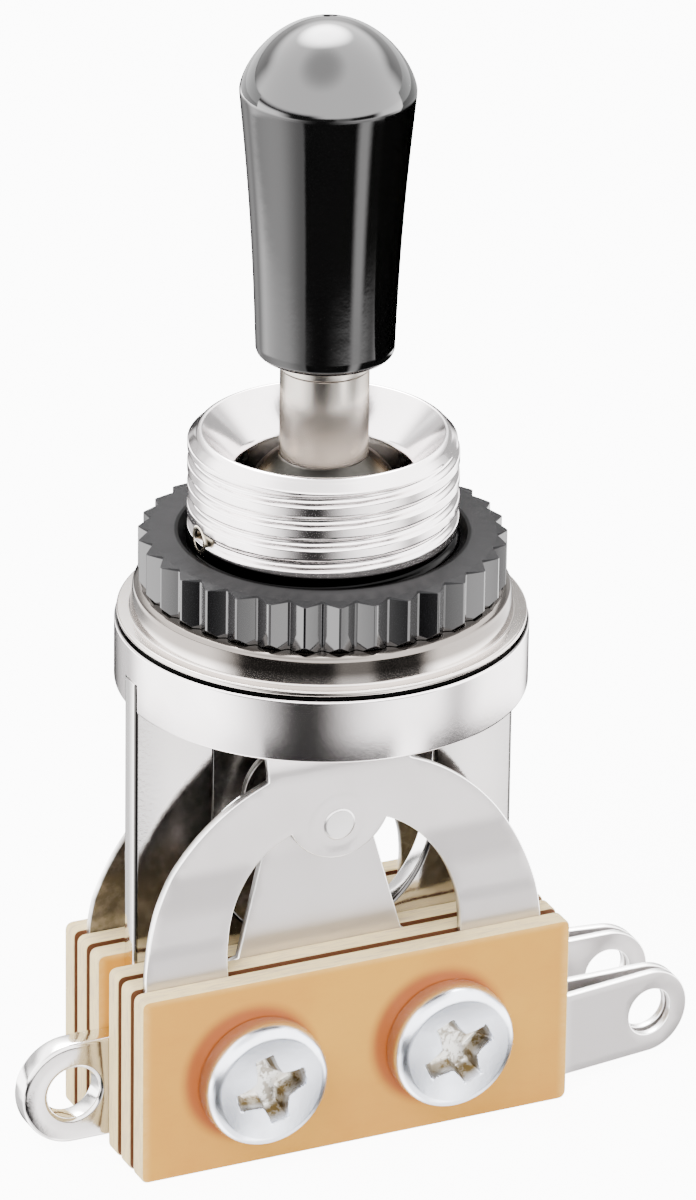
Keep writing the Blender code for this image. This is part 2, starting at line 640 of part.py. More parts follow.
def make_arch_leaf(name, side, material):
    """Arch leaf: bent towards the lever above the stack, its lug bent towards its neighbour."""
    hole = circle_outline(STACK_SHIFT, CONTACT_HEIGHT, RIVET_SHANK_RADIUS + BORE_GAP, 16)
    outlines = [arch_rim(), arch_window(), hole, circle_outline(LUG_REACH, LUG_MIDDLE, LUG_HOLE_RADIUS)]
    outlines += screw_hole_outlines(SLEEVE_HOLE_RADIUS)
    near = side * ARCH_FACE
    far = side * (ARCH_FACE + LEAF_THICKNESS)
    sheet = sheet_mesh(outlines, near, far)
    heights, inward = arch_bends()
    split_and_shift(sheet, heights[:-1], "Z", lambda height: -side * between(heights, inward, height))
    bend_start = PLATE_HALF + 0.4
    bend_end = LUG_REACH + LUG_RADIUS
    bend_depth = PLATE_THICKNESS + 2 * SEAT_GAP - 0.08

    def lug_shift(x):
        return -side * between([bend_start, bend_end], [0.0, bend_depth], x)

    split_and_shift(sheet, [bend_start], "X", lug_shift)
    return smooth(add_mesh_object(name, sheet, material), 20.0)


def tongue_rim():
    """Returns the tongue leaf's rim: root strip, lug and a tapered blade with a round end."""
    strip_top = STACK_TOP - TONGUE_STRIP_SINK
    left = -PLATE_HALF + PLATE_CORNER + 1.0
    root_left = TONGUE_SHIFT - TONGUE_ROOT_HALF
    root_right = TONGUE_SHIFT + TONGUE_ROOT_HALF
    rise = CONTACT_HEIGHT - STACK_TOP
    taper = math.degrees(math.atan2(TONGUE_ROOT_HALF - TONGUE_TIP_RADIUS, rise))
    rim = [(left, LUG_FOOT)] + lug_outline()
    rim += [(PLATE_HALF - PLATE_CORNER, LUG_MIDDLE + LUG_RADIUS), (root_right + 1.5, strip_top)]
    rim += [(root_right, STACK_TOP)]
    rim += arc(TONGUE_SHIFT, CONTACT_HEIGHT, TONGUE_TIP_RADIUS, taper * 0.5, 180 - taper * 0.5, 12)
    rim += [(root_left, STACK_TOP), (left, strip_top)]
    return rim


def tongue_bends():
    """Returns the heights where the tongue leaf bends and how far it lies inward at each."""
    return [STACK_TOP, CONTACT_HEIGHT - RIVET_CONTACT_RADIUS - CONTACT_FLAT], [0.0, TONGUE_LEAN]


def make_tongue_leaf(name, side, material):
    """Tongue leaf: straight lug, blade leaning slightly towards the frame plate."""
    hole = circle_outline(STACK_SHIFT, CONTACT_HEIGHT, RIVET_SHANK_RADIUS + BORE_GAP, 16)
    outlines = [tongue_rim(), hole, circle_outline(LUG_REACH, LUG_MIDDLE, LUG_HOLE_RADIUS)]
    outlines += screw_hole_outlines(SLEEVE_HOLE_RADIUS)
    near = side * TONGUE_FACE
    far = side * (TONGUE_FACE + LEAF_THICKNESS)
    sheet = sheet_mesh(outlines, near, far)
    heights, inward = tongue_bends()
    split_and_shift(sheet, heights, "Z", lambda height: -side * between(heights, inward, height))
    return smooth(add_mesh_object(name, sheet, material), 20.0)


def make_contact(name, side, face, contact_height, outer, material):
    """Contact rivet through a leaf: a wide contact face on one side and a small head behind."""
    start = -RIVET_OUTER_HEIGHT - SEAT_GAP
    end = LEAF_THICKNESS + SEAT_GAP
    edge = RIVET_OUTER_HEIGHT * 0.4
    profile = [(0.0, start), (RIVET_OUTER_RADIUS - edge, start), (RIVET_OUTER_RADIUS, start + edge)]
    profile += [(RIVET_OUTER_RADIUS, -SEAT_GAP), (RIVET_SHANK_RADIUS, -SEAT_GAP)]
    profile += [(RIVET_SHANK_RADIUS, end), (RIVET_CONTACT_RADIUS, end)]
    profile += [(RIVET_CONTACT_RADIUS, end + contact_height), (0.0, end + contact_height)]
    towards_frame = "+Y" if side * outer < 0 else "-Y"
    rivet = turned_mesh(profile, SEGMENTS_SMALL, towards_frame, (STACK_SHIFT, face, CONTACT_HEIGHT))
    return smooth(add_mesh_object(name, rivet, material))


def make_contacts(side, name, material):
    """Contact pair of one side, whose faces meet with only a seat gap between them."""
    arch_outer = ARCH_FACE + LEAF_THICKNESS - ARCH_LEAN
    arch_inner = arch_outer - LEAF_THICKNESS
    tongue_inner = TONGUE_FACE - TONGUE_LEAN
    tongue_outer = tongue_inner + LEAF_THICKNESS
    contact_height = (arch_inner - tongue_outer - 3 * SEAT_GAP) / 2
    make_contact(name + "_arch_contact", side, side * arch_outer, contact_height, 1, material)
    make_contact(name + "_tongue_contact", side, side * tongue_inner, contact_height, -1, material)


def cross_recess(turn, centre):
    """Returns a tapering cross-shaped cutter for a screw head, turned about the screw axis."""
    mesh_data = bmesh.new()
    for quarter in (0.0, 90.0):
        arm = bmesh.ops.create_cube(mesh_data, size=1.0)["verts"]
        width = 2 * RECESS_HALF_WIDTH if quarter == 0.0 else 2 * RECESS_HALF_WIDTH * 1.001
        bmesh.ops.scale(mesh_data, vec=(2 * RECESS_HALF_LENGTH, width, 2 * RECESS_DEPTH), verts=arm)
        for vert in arm:
            vert.co.x *= 1.0 + RECESS_TAPER * (1.0 if vert.co.z > 0 else -1.0)
        turned = Matrix.Rotation(math.radians(quarter + turn), 3, "Z")
        bmesh.ops.rotate(mesh_data, cent=(0, 0, 0), matrix=turned, verts=arm)
    lay_along(mesh_data, "-Y")
    bmesh.ops.translate(mesh_data, vec=centre, verts=mesh_data.verts)
    return mesh_data


def make_screw(name, x, turn, material):
    """Pan-head screw with a cross recess, its head seated on the front outer plate."""
    seat = STACK_HALF_DEPTH + SEAT_GAP
    crown = SCREW_HEAD_CROWN
    tail = STACK_HALF_DEPTH + SCREW_NUT_THICKNESS + SCREW_TAIL
    top = seat + SCREW_HEAD_HEIGHT
    profile = [(0.0, -tail), (SCREW_SHANK_RADIUS - 0.3, -tail), (SCREW_SHANK_RADIUS, -tail + 0.3)]
    profile += [(SCREW_SHANK_RADIUS, seat), (SCREW_HEAD_RADIUS, seat)]
    profile += [(SCREW_HEAD_RADIUS, top - crown), (SCREW_HEAD_RADIUS - crown * 0.45, top - crown * 0.32)]
    profile += [(SCREW_HEAD_RADIUS - crown * 1.3, top - crown * 0.06), (0.0, top)]
    body = turned_mesh(profile, SEGMENTS_SCREW, "-Y", (x, 0, SCREW_HEIGHT))
    screw = add_mesh_object(name, body, material)
    recess = cross_recess(turn, (x, -top, SCREW_HEIGHT))
    for index, arm in enumerate(split_recess_arms(recess)):
        cut(screw, add_mesh_object(f"cutter_{name}_{index}", arm, None))
    return smooth(screw)


def split_recess_arms(mesh_data):
    """Splits the cross cutter into one closed mesh for each arm."""
    arms = []
    faces = list(mesh_data.faces)
    for start in (0, 6):
        arm = bmesh.new()
        copies = {}
        for face in faces[start:start + 6]:
            for vert in face.verts:
                if vert not in copies:
                    copies[vert] = arm.verts.new(vert.co)
            arm.faces.new([copies[vert] for vert in face.verts])
        arms.append(arm)
    mesh_data.free()
    return arms


def make_screw_nut(name, x, material):
    """Hexagon nut on the screw's tail behind the rear outer plate."""
    flat_radius = SCREW_NUT_FLATS / 2 / math.cos(math.pi / 6)
    near = STACK_HALF_DEPTH + SEAT_GAP
    far = near + SCREW_NUT_THICKNESS
    rim = arc(x, SCREW_HEIGHT, flat_radius, 0, 360, 6)[:-1]
    hole = circle_outline(x, SCREW_HEIGHT, SCREW_SHANK_RADIUS + BORE_GAP)
    return add_mesh_object(name, sheet_mesh([rim, hole], near, far), material)


def make_sleeve(name, x, material):
    """Insulating sleeve round a screw, between the two outer plates."""
    reach = OUTER_PLATE_FACE - SEAT_GAP
    bore = SCREW_SHANK_RADIUS + BORE_GAP
    profile = [(bore, -reach), (SLEEVE_RADIUS, -reach), (SLEEVE_RADIUS, reach), (bore, reach)]
    sleeve = turned_mesh(profile, SEGMENTS_SMALL, "-Y", (x, 0, SCREW_HEIGHT))
    return smooth(add_mesh_object(name, sleeve, material))


def make_materials():
    """Returns the materials by a plain name."""
    return {
        "nickel": make_material("nickel", (0.78, 0.76, 0.73), 1.0, 0.25),
        "leaf": make_material("leaf_metal", (0.80, 0.79, 0.77), 1.0, 0.32),
        "zinc": make_material("zinc", (0.76, 0.78, 0.82), 1.0, 0.28),
        "contact": make_material("contact_metal", (0.86, 0.85, 0.83), 1.0, 0.22),
        "black_metal": make_material("black_metal", (0.03, 0.03, 0.032), 0.6, 0.3),
        "black_plastic": make_material("black_plastic", (0.012, 0.012, 0.013), 0.0, 0.18),
        "phenolic": make_material("phenolic", (0.72, 0.43, 0.19), 0.0, 0.5),
        "nylon": make_material("nylon", (0.82, 0.80, 0.74), 0.0, 0.45),
    }


def build():
    """Builds every piece of the switch."""
    clear_scene()
    materials = make_materials()
    make_bushing(materials["nickel"])
    make_pivot_pin(materials["nickel"])
    make_lever(materials["nickel"])
    make_lever_bead(materials["nylon"])
    make_toggle_tip(materials["black_plastic"])
    make_ring_nut(materials["black_metal"])
    make_collar_disc(materials["nickel"])
    make_frame_cup(materials["nickel"])
    make_frame_plate(materials["nickel"])
    for side, name in ((-1, "front"), (1, "rear")):
        make_plate(name + "_inner_plate", side, INNER_PLATE_FACE, SLEEVE_HOLE_RADIUS, materials["phenolic"])
        make_plate(name + "_middle_plate", side, MIDDLE_PLATE_FACE, SLEEVE_HOLE_RADIUS, materials["phenolic"])
        screw_hole = SCREW_SHANK_RADIUS + BORE_GAP
        make_plate(name + "_outer_plate", side, OUTER_PLATE_FACE, screw_hole, materials["phenolic"])
        make_arch_leaf(name + "_arch_leaf", side, materials["leaf"])
        make_tongue_leaf(name + "_tongue_leaf", side, materials["leaf"])
        make_contacts(side, name, materials["contact"])
    for side, name, turn in ((-1, "left", LEFT_SCREW_TURN), (1, "right", RIGHT_SCREW_TURN)):
        x = screw_place(side)
        make_screw(name + "_screw", x, turn, materials["zinc"])
        make_screw_nut(name + "_screw_nut", x, materials["zinc"])
        make_sleeve(name + "_sleeve", x, materials["nylon"])


build()
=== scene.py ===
"""Looks of a short three-way toggle switch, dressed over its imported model.

Sizes in the classes below are in millimetres and become metres when a mesh is made.
The origin lies on the bushing's axis in the panel plane, +Z runs up and -Y is the front.
"""
import logging
import math
from dataclasses import dataclass
from enum import Enum
from typing import Callable, Optional, Sequence, Union

import bmesh
import bpy
import numpy as np
from mathutils import Matrix, Vector
from mathutils.geometry import delaunay_2d_cdt


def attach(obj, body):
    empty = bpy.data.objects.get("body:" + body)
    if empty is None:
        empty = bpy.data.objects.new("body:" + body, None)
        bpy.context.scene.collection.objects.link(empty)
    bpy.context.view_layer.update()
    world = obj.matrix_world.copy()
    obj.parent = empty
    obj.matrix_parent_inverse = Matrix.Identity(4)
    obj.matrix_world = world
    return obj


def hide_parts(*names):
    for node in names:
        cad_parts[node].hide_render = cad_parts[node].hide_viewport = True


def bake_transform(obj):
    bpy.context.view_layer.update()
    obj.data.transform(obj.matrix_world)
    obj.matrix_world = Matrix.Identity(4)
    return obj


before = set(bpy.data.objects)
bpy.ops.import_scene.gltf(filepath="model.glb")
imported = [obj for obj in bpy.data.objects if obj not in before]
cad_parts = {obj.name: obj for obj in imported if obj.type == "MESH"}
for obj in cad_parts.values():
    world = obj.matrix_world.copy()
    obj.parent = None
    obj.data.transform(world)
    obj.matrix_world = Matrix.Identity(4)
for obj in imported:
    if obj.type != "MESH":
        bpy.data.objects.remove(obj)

MM = 0.001  # metres in a millimetre
PER_METRE = 1000.0  # millimetres in a metre
TAU = 2.0 * math.pi
SEAT = 0.02  # clearance between pieces that seat on each other, in millimetres
CREASE = 40.0  # usual angle above which an edge stays sharp, in degrees
EDGE_STEPS = 5  # points over one rounding of a sheet's edge
WHITE = (1.0, 1.0, 1.0, 1.0)
BLACK = (0.0, 0.0, 0.0, 1.0)
LOG = logging.getLogger("switch_looks")

Number = Union[int, float]
Pair = tuple[float, float]
Row = tuple[float, float, float]


class Body(Enum):
    """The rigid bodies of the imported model."""

    FRAME = "frame"
    LEVER = "lever"
    NUT = "ring_nut"


class Side(Enum):
    """The two contact stacks, by the sign of their depth along Y."""

    FRONT = -1
    REAR = 1


class Axis(Enum):
    """The direction that a turned piece's own height runs along."""

    UP = "up"
    FRONT = "front"
    REAR = "rear"
    RIGHT = "right"


# ---- surfaces


def grid_quads(rows: int, columns: int, ring: bool = True, loop: bool = False) -> np.ndarray:
    """Numbers the corners of every quad of a grid of points.

    Args:
        rows: Points along the section.
        columns: Points along the path or round the axis.
        ring: Whether the last column joins the first.
        loop: Whether the last row joins the first.

    Returns:
        An array of four point numbers per quad.
    """
    last_row = rows if loop else rows - 1
    last_column = columns if ring else columns - 1
    row, column = np.meshgrid(np.arange(last_row), np.arange(last_column), indexing="ij")
    above, right = (row + 1) % rows, (column + 1) % columns
    here, over = row * columns, above * columns
    corners = (here + column, here + right, over + right, over + column)
    return np.stack(corners, -1).reshape(-1, 4)


def smooth_step(low: Number, high: Number, value: np.ndarray) -> np.ndarray:
    """Rises from 0 at low to 1 at high as 3t squared minus 2t cubed."""
    share = np.clip((value - low) / (high - low), 0.0, 1.0)
    return share * share * (3.0 - 2.0 * share)


def rounded_chain(corners: Sequence[Row], steps: int = 5) -> np.ndarray:
    """Rounds each corner of an open chain by a curve that leaves its two sides smoothly.

    Each corner p with reach d becomes the parabola (1-t)^2 a + 2t(1-t) p + t^2 b, where a and b
    lie d before and d after the corner on its two sides.

    Args:
        corners: Radius, height and reach of the rounding at every corner.
        steps: Points per rounding.

    Returns:
        An array of (radius, height) points.
    """
    places = np.array([corner[:2] for corner in corners], float)
    share = np.linspace(0.0, 1.0, steps)[:, None]
    chain = [places[:1]]
    for index in range(1, len(corners) - 1):
        before, here, after = places[index - 1], places[index], places[index + 1]
        into, out = before - here, after - here
        reach = min(corners[index][2], 0.48 * np.linalg.norm(into), 0.48 * np.linalg.norm(out))
        if reach <= 0.0:
            chain.append(here[None])
            continue
        start = here + into / np.linalg.norm(into) * reach
        end = here + out / np.linalg.norm(out) * reach
        chain.append((1 - share) ** 2 * start + 2 * share * (1 - share) * here + share ** 2 * end)
    chain.append(places[-1:])
    return np.concatenate(chain)


def round_axis(radius: np.ndarray, angle: np.ndarray, height: np.ndarray) -> np.ndarray:
    """Points at a radius, an angle and a height about the Z axis: (r cos a, r sin a, h)."""
    return np.stack([radius * np.cos(angle), radius * np.sin(angle), height + 0.0 * angle], -1)


def turned(profile: np.ndarray, columns: int) -> np.ndarray:
    """Carries (radius, height) points round the Z axis."""
    angle = np.linspace(0.0, TAU, columns, endpoint=False)
    return round_axis(profile[:, :1], angle, profile[:, 1:])


def laid(points: np.ndarray, axis: Axis, centre: Row = (0.0, 0.0, 0.0)) -> np.ndarray:
    """Turns points built along +Z to run along an axis and moves them to a centre."""
    x, y, z = points[..., 0], points[..., 1], points[..., 2]
    turns = {
        Axis.UP: (x, y, z),
        Axis.FRONT: (x, -z, y),
        Axis.REAR: (x, z, -y),
        Axis.RIGHT: (z, y, -x),
    }
    return np.stack(turns[axis], -1) + np.array(centre)


def arc(centre: Pair, radius: float, start: float, end: float, count: int) -> np.ndarray:
    """Points of a circle between two angles in degrees, both ends included."""
    angle = np.radians(np.linspace(start, end, count))
    return np.stack([centre[0] + radius * np.cos(angle), centre[1] + radius * np.sin(angle)], -1)


def circle(centre: Pair, radius: float, count: int = 48) -> np.ndarray:
    """Points of a whole circle, the last one left out."""
    return arc(centre, radius, 0.0, 360.0, count + 1)[:-1]


def evened(outline: np.ndarray, pitch: float) -> np.ndarray:
    """Adds points to the long sides of a closed outline so that none is longer than the pitch."""
    following = np.roll(outline, -1, axis=0)
    lengths = np.linalg.norm(following - outline, axis=1)
    parts = np.maximum(np.ceil(lengths / pitch), 1).astype(int)
    index = np.repeat(np.arange(len(outline)), parts)
    first = np.concatenate([[0], np.cumsum(parts)[:-1]])
    share = (np.arange(len(index)) - first[index]) / parts[index]
    return outline[index] + (following - outline)[index] * share[:, None]


def rounded_outline(corners: Sequence[Row], steps: int = 7) -> np.ndarray:
    """Closed form of rounded_chain: rounds every corner of a closed outline."""
    padded = [corners[-1], *corners, corners[0]]
    chain = rounded_chain(padded, steps)
    return chain[1:-1]


def is_inside(points: np.ndarray, outlines: Sequence[np.ndarray]) -> np.ndarray:
    """Tells by counting crossed sides which points lie within a rim and outside its holes."""
    crossings = np.zeros(len(points), int)
    for outline in outlines:
        start, end = outline, np.roll(outline, -1, axis=0)
        px, py = points[:, :1], points[:, 1:]
        spans = (start[:, 1] > py) != (end[:, 1] > py)
        rise = end[:, 1] - start[:, 1]
        safe = np.where(rise == 0.0, 1.0, rise)
        cross = start[:, 0] + (py - start[:, 1]) / safe * (end[:, 0] - start[:, 0])
        crossings += (spans & (px < cross)).sum(1)
    return crossings % 2 == 1


def area_of(outline: np.ndarray) -> float:
    """Signed area of a closed outline, positive when it runs counter-clockwise."""
    following = np.roll(outline, -1, axis=0)
    return 0.5 * float(np.sum(outline[:, 0] * following[:, 1] - following[:, 0] * outline[:, 1]))


def add_object(name: str, data: bpy.types.ID) -> bpy.types.Object:
    """Adds an object with its data to the scene."""
    made = bpy.data.objects.new(name, data)
    bpy.context.collection.objects.link(made)
    return made


def make_piece(
    name: str,
    points: np.ndarray,
    faces: list[list[int]],
    body: Body,
    finish: "Finish",
    stands_for: Sequence[str],
    marks: Optional[dict[str, np.ndarray]] = None,
    crease: float = CREASE,
    bend: Optional[Pair] = None,
) -> bpy.types.Object:
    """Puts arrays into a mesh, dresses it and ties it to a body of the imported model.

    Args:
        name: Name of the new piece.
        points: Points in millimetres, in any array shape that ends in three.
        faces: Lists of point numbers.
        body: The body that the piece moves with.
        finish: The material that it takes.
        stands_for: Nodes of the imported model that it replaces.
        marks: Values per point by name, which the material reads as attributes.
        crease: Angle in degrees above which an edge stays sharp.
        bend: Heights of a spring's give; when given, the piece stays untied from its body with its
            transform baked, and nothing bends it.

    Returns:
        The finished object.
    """
    mesh = bpy.data.meshes.new(name)
    mesh.from_pydata((points.reshape(-1, 3) * MM).tolist(), [], faces)
    for label, values in (marks or {}).items():
        layer = mesh.attributes.new(label, "FLOAT", "POINT")
        layer.data.foreach_set("value", np.ascontiguousarray(values.ravel(), np.float32))
    work = bmesh.new()
    work.from_mesh(mesh)
    bmesh.ops.remove_doubles(work, verts=work.verts, dist=2e-7)
    bmesh.ops.dissolve_degenerate(work, edges=work.edges, dist=1e-8)
    bmesh.ops.recalc_face_normals(work, faces=work.faces)
    work.to_mesh(mesh)
    work.free()
    mesh.polygons.foreach_set("use_smooth", np.ones(len(mesh.polygons), bool))
    mesh.set_sharp_from_angle(angle=math.radians(crease))
    mesh.materials.append(finish.material())
    piece = add_object(name, mesh)
    if bend:
        bend[0] * MM
        bend[1] * MM
        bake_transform(piece)
    else:
        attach(piece, body.value)
    if stands_for:
        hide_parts(*stands_for)
    LOG.info("%s: %d faces on %s", name, len(mesh.polygons), body.value)
    return piece


def make_grid(
    name: str,
    points: np.ndarray,
    body: Body,
    finish: "Finish",
    stands_for: Sequence[str],
    marks: Optional[dict[str, np.ndarray]] = None,
    crease: float = CREASE,
    loop: bool = False,
) -> bpy.types.Object:
    """Makes a piece from a grid of points whose last column joins the first.

    Args:
        name: Name of the new piece.
        points: Rows and columns of points in millimetres.
        body: The body that the piece moves with.
        finish: The material that it takes.
        stands_for: Nodes that it replaces.
        marks: Values per point by name.
        crease: Angle above which an edge stays sharp.
        loop: Whether the last row joins the first.

    Returns:
        The finished object.
    """
    faces = grid_quads(points.shape[0], points.shape[1], loop=loop).tolist()
    return make_piece(name, points, faces, body, finish, stands_for, marks, crease)


def make_turned(
    name: str,
    profile: np.ndarray,
    body: Body,
    finish: "Finish",
    stands_for: Sequence[str],
    columns: int = 96,
    axis: Axis = Axis.UP,
    centre: Row = (0.0, 0.0, 0.0),
    crease: float = CREASE,
) -> bpy.types.Object:
    """Makes a piece from a profile carried round an axis; a closed profile repeats its first point.

    Args:
        name: Name of the new piece.
        profile: Radius and height of each point, counter-clockwise seen with the axis on the left.
        body: The body that the piece moves with.
        finish: The material that it takes.
        stands_for: Nodes that it replaces.
        columns: Points round the axis.
        axis: Where the profile's height runs.
        centre: Where its origin lies.
        crease: Angle above which an edge stays sharp.

    Returns:
        The finished object.
    """
    points = laid(turned(profile, columns), axis, centre)
    return make_grid(name, points, body, finish, stands_for, crease=crease)


@dataclass
class Sheet:
    """A flat or bent plate with rounded edges, cut to closed XZ outlines.

    The edge is a section carried along every outline: a quarter round, the straight wall and
    a second quarter round. Both faces are the outlines moved in by the rounding and filled.

    Attributes:
        outlines: The rim and then the holes.
        near: Distance of the inner face from the middle plane.
        far: Distance of the outer face from the middle plane.
        side: Front or rear.
        rounding: Radius of the edges.
        inward: Gives how far each (x, z) place is bent towards the middle plane.
        pitch: Spacing of the points inside the faces, or 0 for none.
        seen_rounding: Roundings above this one mark the edge over their whole width.
    """

    outlines: list[np.ndarray]
    near: float
    far: float
    side: Side
    rounding: float = 0.05
    inward: Optional[Callable[[np.ndarray, np.ndarray], np.ndarray]] = None
    pitch: float = 0.0
    seen_rounding: float = 0.1

    def section(self) -> np.ndarray:
        """Inset and depth of each point of the edge's section, from the inner to the outer face."""
        thickness = self.far - self.near
        turn = np.radians(np.linspace(0.0, 90.0, EDGE_STEPS))
        first = self.rounding * np.stack([1 - np.sin(turn), 1 - np.cos(turn)], -1)
        second = np.stack([first[::-1, 0], thickness - first[::-1, 1]], -1)
        return np.concatenate([first, second])

    def outward(self, outline: np.ndarray) -> np.ndarray:
        """Unit direction that leaves the material at each point of an outline."""
        along = np.roll(outline, -1, axis=0) - np.roll(outline, 1, axis=0)
        away = np.stack([along[:, 1], -along[:, 0]], -1)
        return away / np.maximum(np.linalg.norm(away, axis=1, keepdims=True), 1e-9)

    def inner_points(self, outlines: Sequence[np.ndarray]) -> np.ndarray:
        """Evenly spread points within the faces, clear of every edge."""
        if self.pitch <= 0.0:
            return np.zeros((0, 2))
        low, high = outlines[0].min(0), outlines[0].max(0)
        across = np.arange(low[0], high[0], self.pitch)
        upward = np.arange(low[1], high[1], self.pitch)
        grid = np.stack(np.meshgrid(across, upward), -1).reshape(-1, 2)
        grid = grid[is_inside(grid, outlines)]
        edge = np.concatenate(outlines)
        distance = np.linalg.norm(grid[:, None] - edge[None], axis=2).min(1)
        return grid[distance > 0.45 * self.pitch]

    def fill(self, outlines: Sequence[np.ndarray], inner: np.ndarray) -> np.ndarray:
        """Triangles over a face, as numbers into the outlines' points and then the inner points."""
        flat = np.concatenate([*outlines, inner])
        edges, start = [], 0
        for outline in outlines:
            count = len(outline)
            ring = np.arange(count)
            edges.append(np.stack([start + ring, start + (ring + 1) % count], -1))
            start += count
        places = [Vector(place) for place in flat.tolist()]
        result = delaunay_2d_cdt(places, np.concatenate(edges).tolist(), [], 0, 1e-7)
        source = np.array([origin[0] if origin else -1 for origin in result[3]])
        triangles = source[np.array(result[2])]
        triangles = triangles[(triangles >= 0).all(1)]
        middles = flat[triangles].mean(1)
        return triangles[is_inside(middles, outlines)]

    def build(
        self, name: str, finish: "Finish", stands_for: Sequence[str], crease: float = 35.0,
        bend: Optional[Pair] = None,
    ) -> bpy.types.Object:
        """Makes the piece.

        Args:
            name: Name of the new piece.
            finish: The material that it takes.
            stands_for: Nodes that it replaces.
            crease: Angle above which an edge stays sharp.
            bend: Heights of its give, handed on to make_piece; nothing bends it.

        Returns:
            The finished object.
        """
        outlines = [outline if (area_of(outline) > 0) == (index == 0) else outline[::-1]
                    for index, outline in enumerate(self.outlines)]
        section = self.section()
        inset = section[:, None, :1]
        rims = [outline[None] - self.outward(outline)[None] * inset for outline in outlines]
        face_outlines = [rim[0] for rim in rims]
        inner = self.inner_points(face_outlines)
        triangles = self.fill(face_outlines, inner)
        places, depths, faces, edge_marks = [], [], [], []
        start, first_ring, last_ring = 0, [], []
        for rim in rims:
            rows, columns = rim.shape[:2]
            places.append(rim.reshape(-1, 2))
            depths.append(np.repeat(section[:, 1], columns))
            mark = np.ones(rows)
            mark[[0, -1]] = 0.0
            if self.rounding > self.seen_rounding:
                mark[:EDGE_STEPS] = np.linspace(0.0, 1.0, EDGE_STEPS)
                mark[-EDGE_STEPS:] = np.linspace(1.0, 0.0, EDGE_STEPS)
            edge_marks.append(np.repeat(mark, columns))
            faces.extend((grid_quads(rows, columns) + start).tolist())
            first_ring.append(start + np.arange(columns))
            last_ring.append(start + (rows - 1) * columns + np.arange(columns))
            start += rows * columns
        for ring, depth in ((first_ring, 0.0), (last_ring, self.far - self.near)):
            numbers = np.concatenate([*ring, start + np.arange(len(inner))])
            faces.extend(numbers[triangles].tolist())
            places.append(inner)
            depths.append(np.full(len(inner), depth))
            edge_marks.append(np.zeros(len(inner)))
            start += len(inner)
        flat, depth = np.concatenate(places), np.concatenate(depths)
        shift = self.inward(flat[:, 0], flat[:, 1]) if self.inward else 0.0
        sign = self.side.value
        points = np.stack([flat[:, 0], sign * (self.near + depth - shift), flat[:, 1]], -1)
        back = depth < 0.2 * (self.far - self.near)
        marks = {"edge": np.concatenate(edge_marks), "back": back.astype(float)}
        return make_piece(name, points, faces, Body.FRAME, finish, stands_for, marks, crease, bend)


# ---- finishes


def feed(node: bpy.types.Node, sockets: dict[Union[int, str], "Term"]) -> None:
    """Gives a node's sockets, by name or number, their wires or plain values."""
    for label, term in sockets.items():
        if isinstance(term, Wire):
            term.tree.links.new(term.socket, node.inputs[label])
        else:
            node.inputs[label].default_value = term


class Wire:
    """A shader socket that takes part in sums, products and comparisons."""

    def __init__(self, tree: bpy.types.NodeTree, socket: bpy.types.NodeSocket) -> None:
        """Keeps the tree and the socket."""
        self.tree = tree
        self.socket = socket

    def _math(self, operation: str, first: "Term", second: "Term" = 0.0) -> "Wire":
        """Adds one Math node on one or two terms."""
        node = self.tree.nodes.new("ShaderNodeMath")
        node.operation = operation
        feed(node, {0: first, 1: second})
        return Wire(self.tree, node.outputs[0])

    def __add__(self, other: "Term") -> "Wire":
        """Sum."""
        return self._math("ADD", self, other)

    __radd__ = __add__

    def __sub__(self, other: "Term") -> "Wire":
        """Difference."""
        return self._math("SUBTRACT", self, other)

    def __rsub__(self, other: "Term") -> "Wire":
        """Reflected difference."""
        return self._math("SUBTRACT", other, self)

    def __mul__(self, other: "Term") -> "Wire":
        """Product."""
        return self._math("MULTIPLY", self, other)

    __rmul__ = __mul__

    def power(self, exponent: Number) -> "Wire":
        """Raises to a power."""
        return self._math("POWER", self, exponent)

    def absolute(self) -> "Wire":
        """Distance from zero."""
        return self._math("ABSOLUTE", self)

    def reach(self, other: "Wire") -> "Wire":
        """Length of a slope whose two sides are this value and another."""
        return (self * self + other * other).power(0.5)

    def at_most(self, other: "Term") -> "Wire":
        """The lesser of two values."""
        return self._math("MINIMUM", self, other)

    def at_least(self, other: "Term") -> "Wire":
        """The greater of two values."""
        return self._math("MAXIMUM", self, other)

    def ramp(self, low: Number, high: Number) -> "Wire":
        """Rises smoothly from 0 at low to 1 at high."""
        node = self.tree.nodes.new("ShaderNodeMapRange")
        node.interpolation_type = "SMOOTHSTEP"
        low, high, start, end = (low, high, 0.0, 1.0) if low < high else (high, low, 1.0, 0.0)
        feed(node, {"Value": self, "From Min": low, "From Max": high, "To Min": start, "To Max": end})
        return Wire(self.tree, node.outputs["Result"])

    def band(self, low: Number, high: Number, soft: Number) -> "Wire":
        """Is 1 between low and high and falls off over the soft distance outside them."""
        return self.ramp(low - soft, low) * self.ramp(high + soft, high)


Term = Union[Wire, Number]
Colour = tuple[float, float, float]


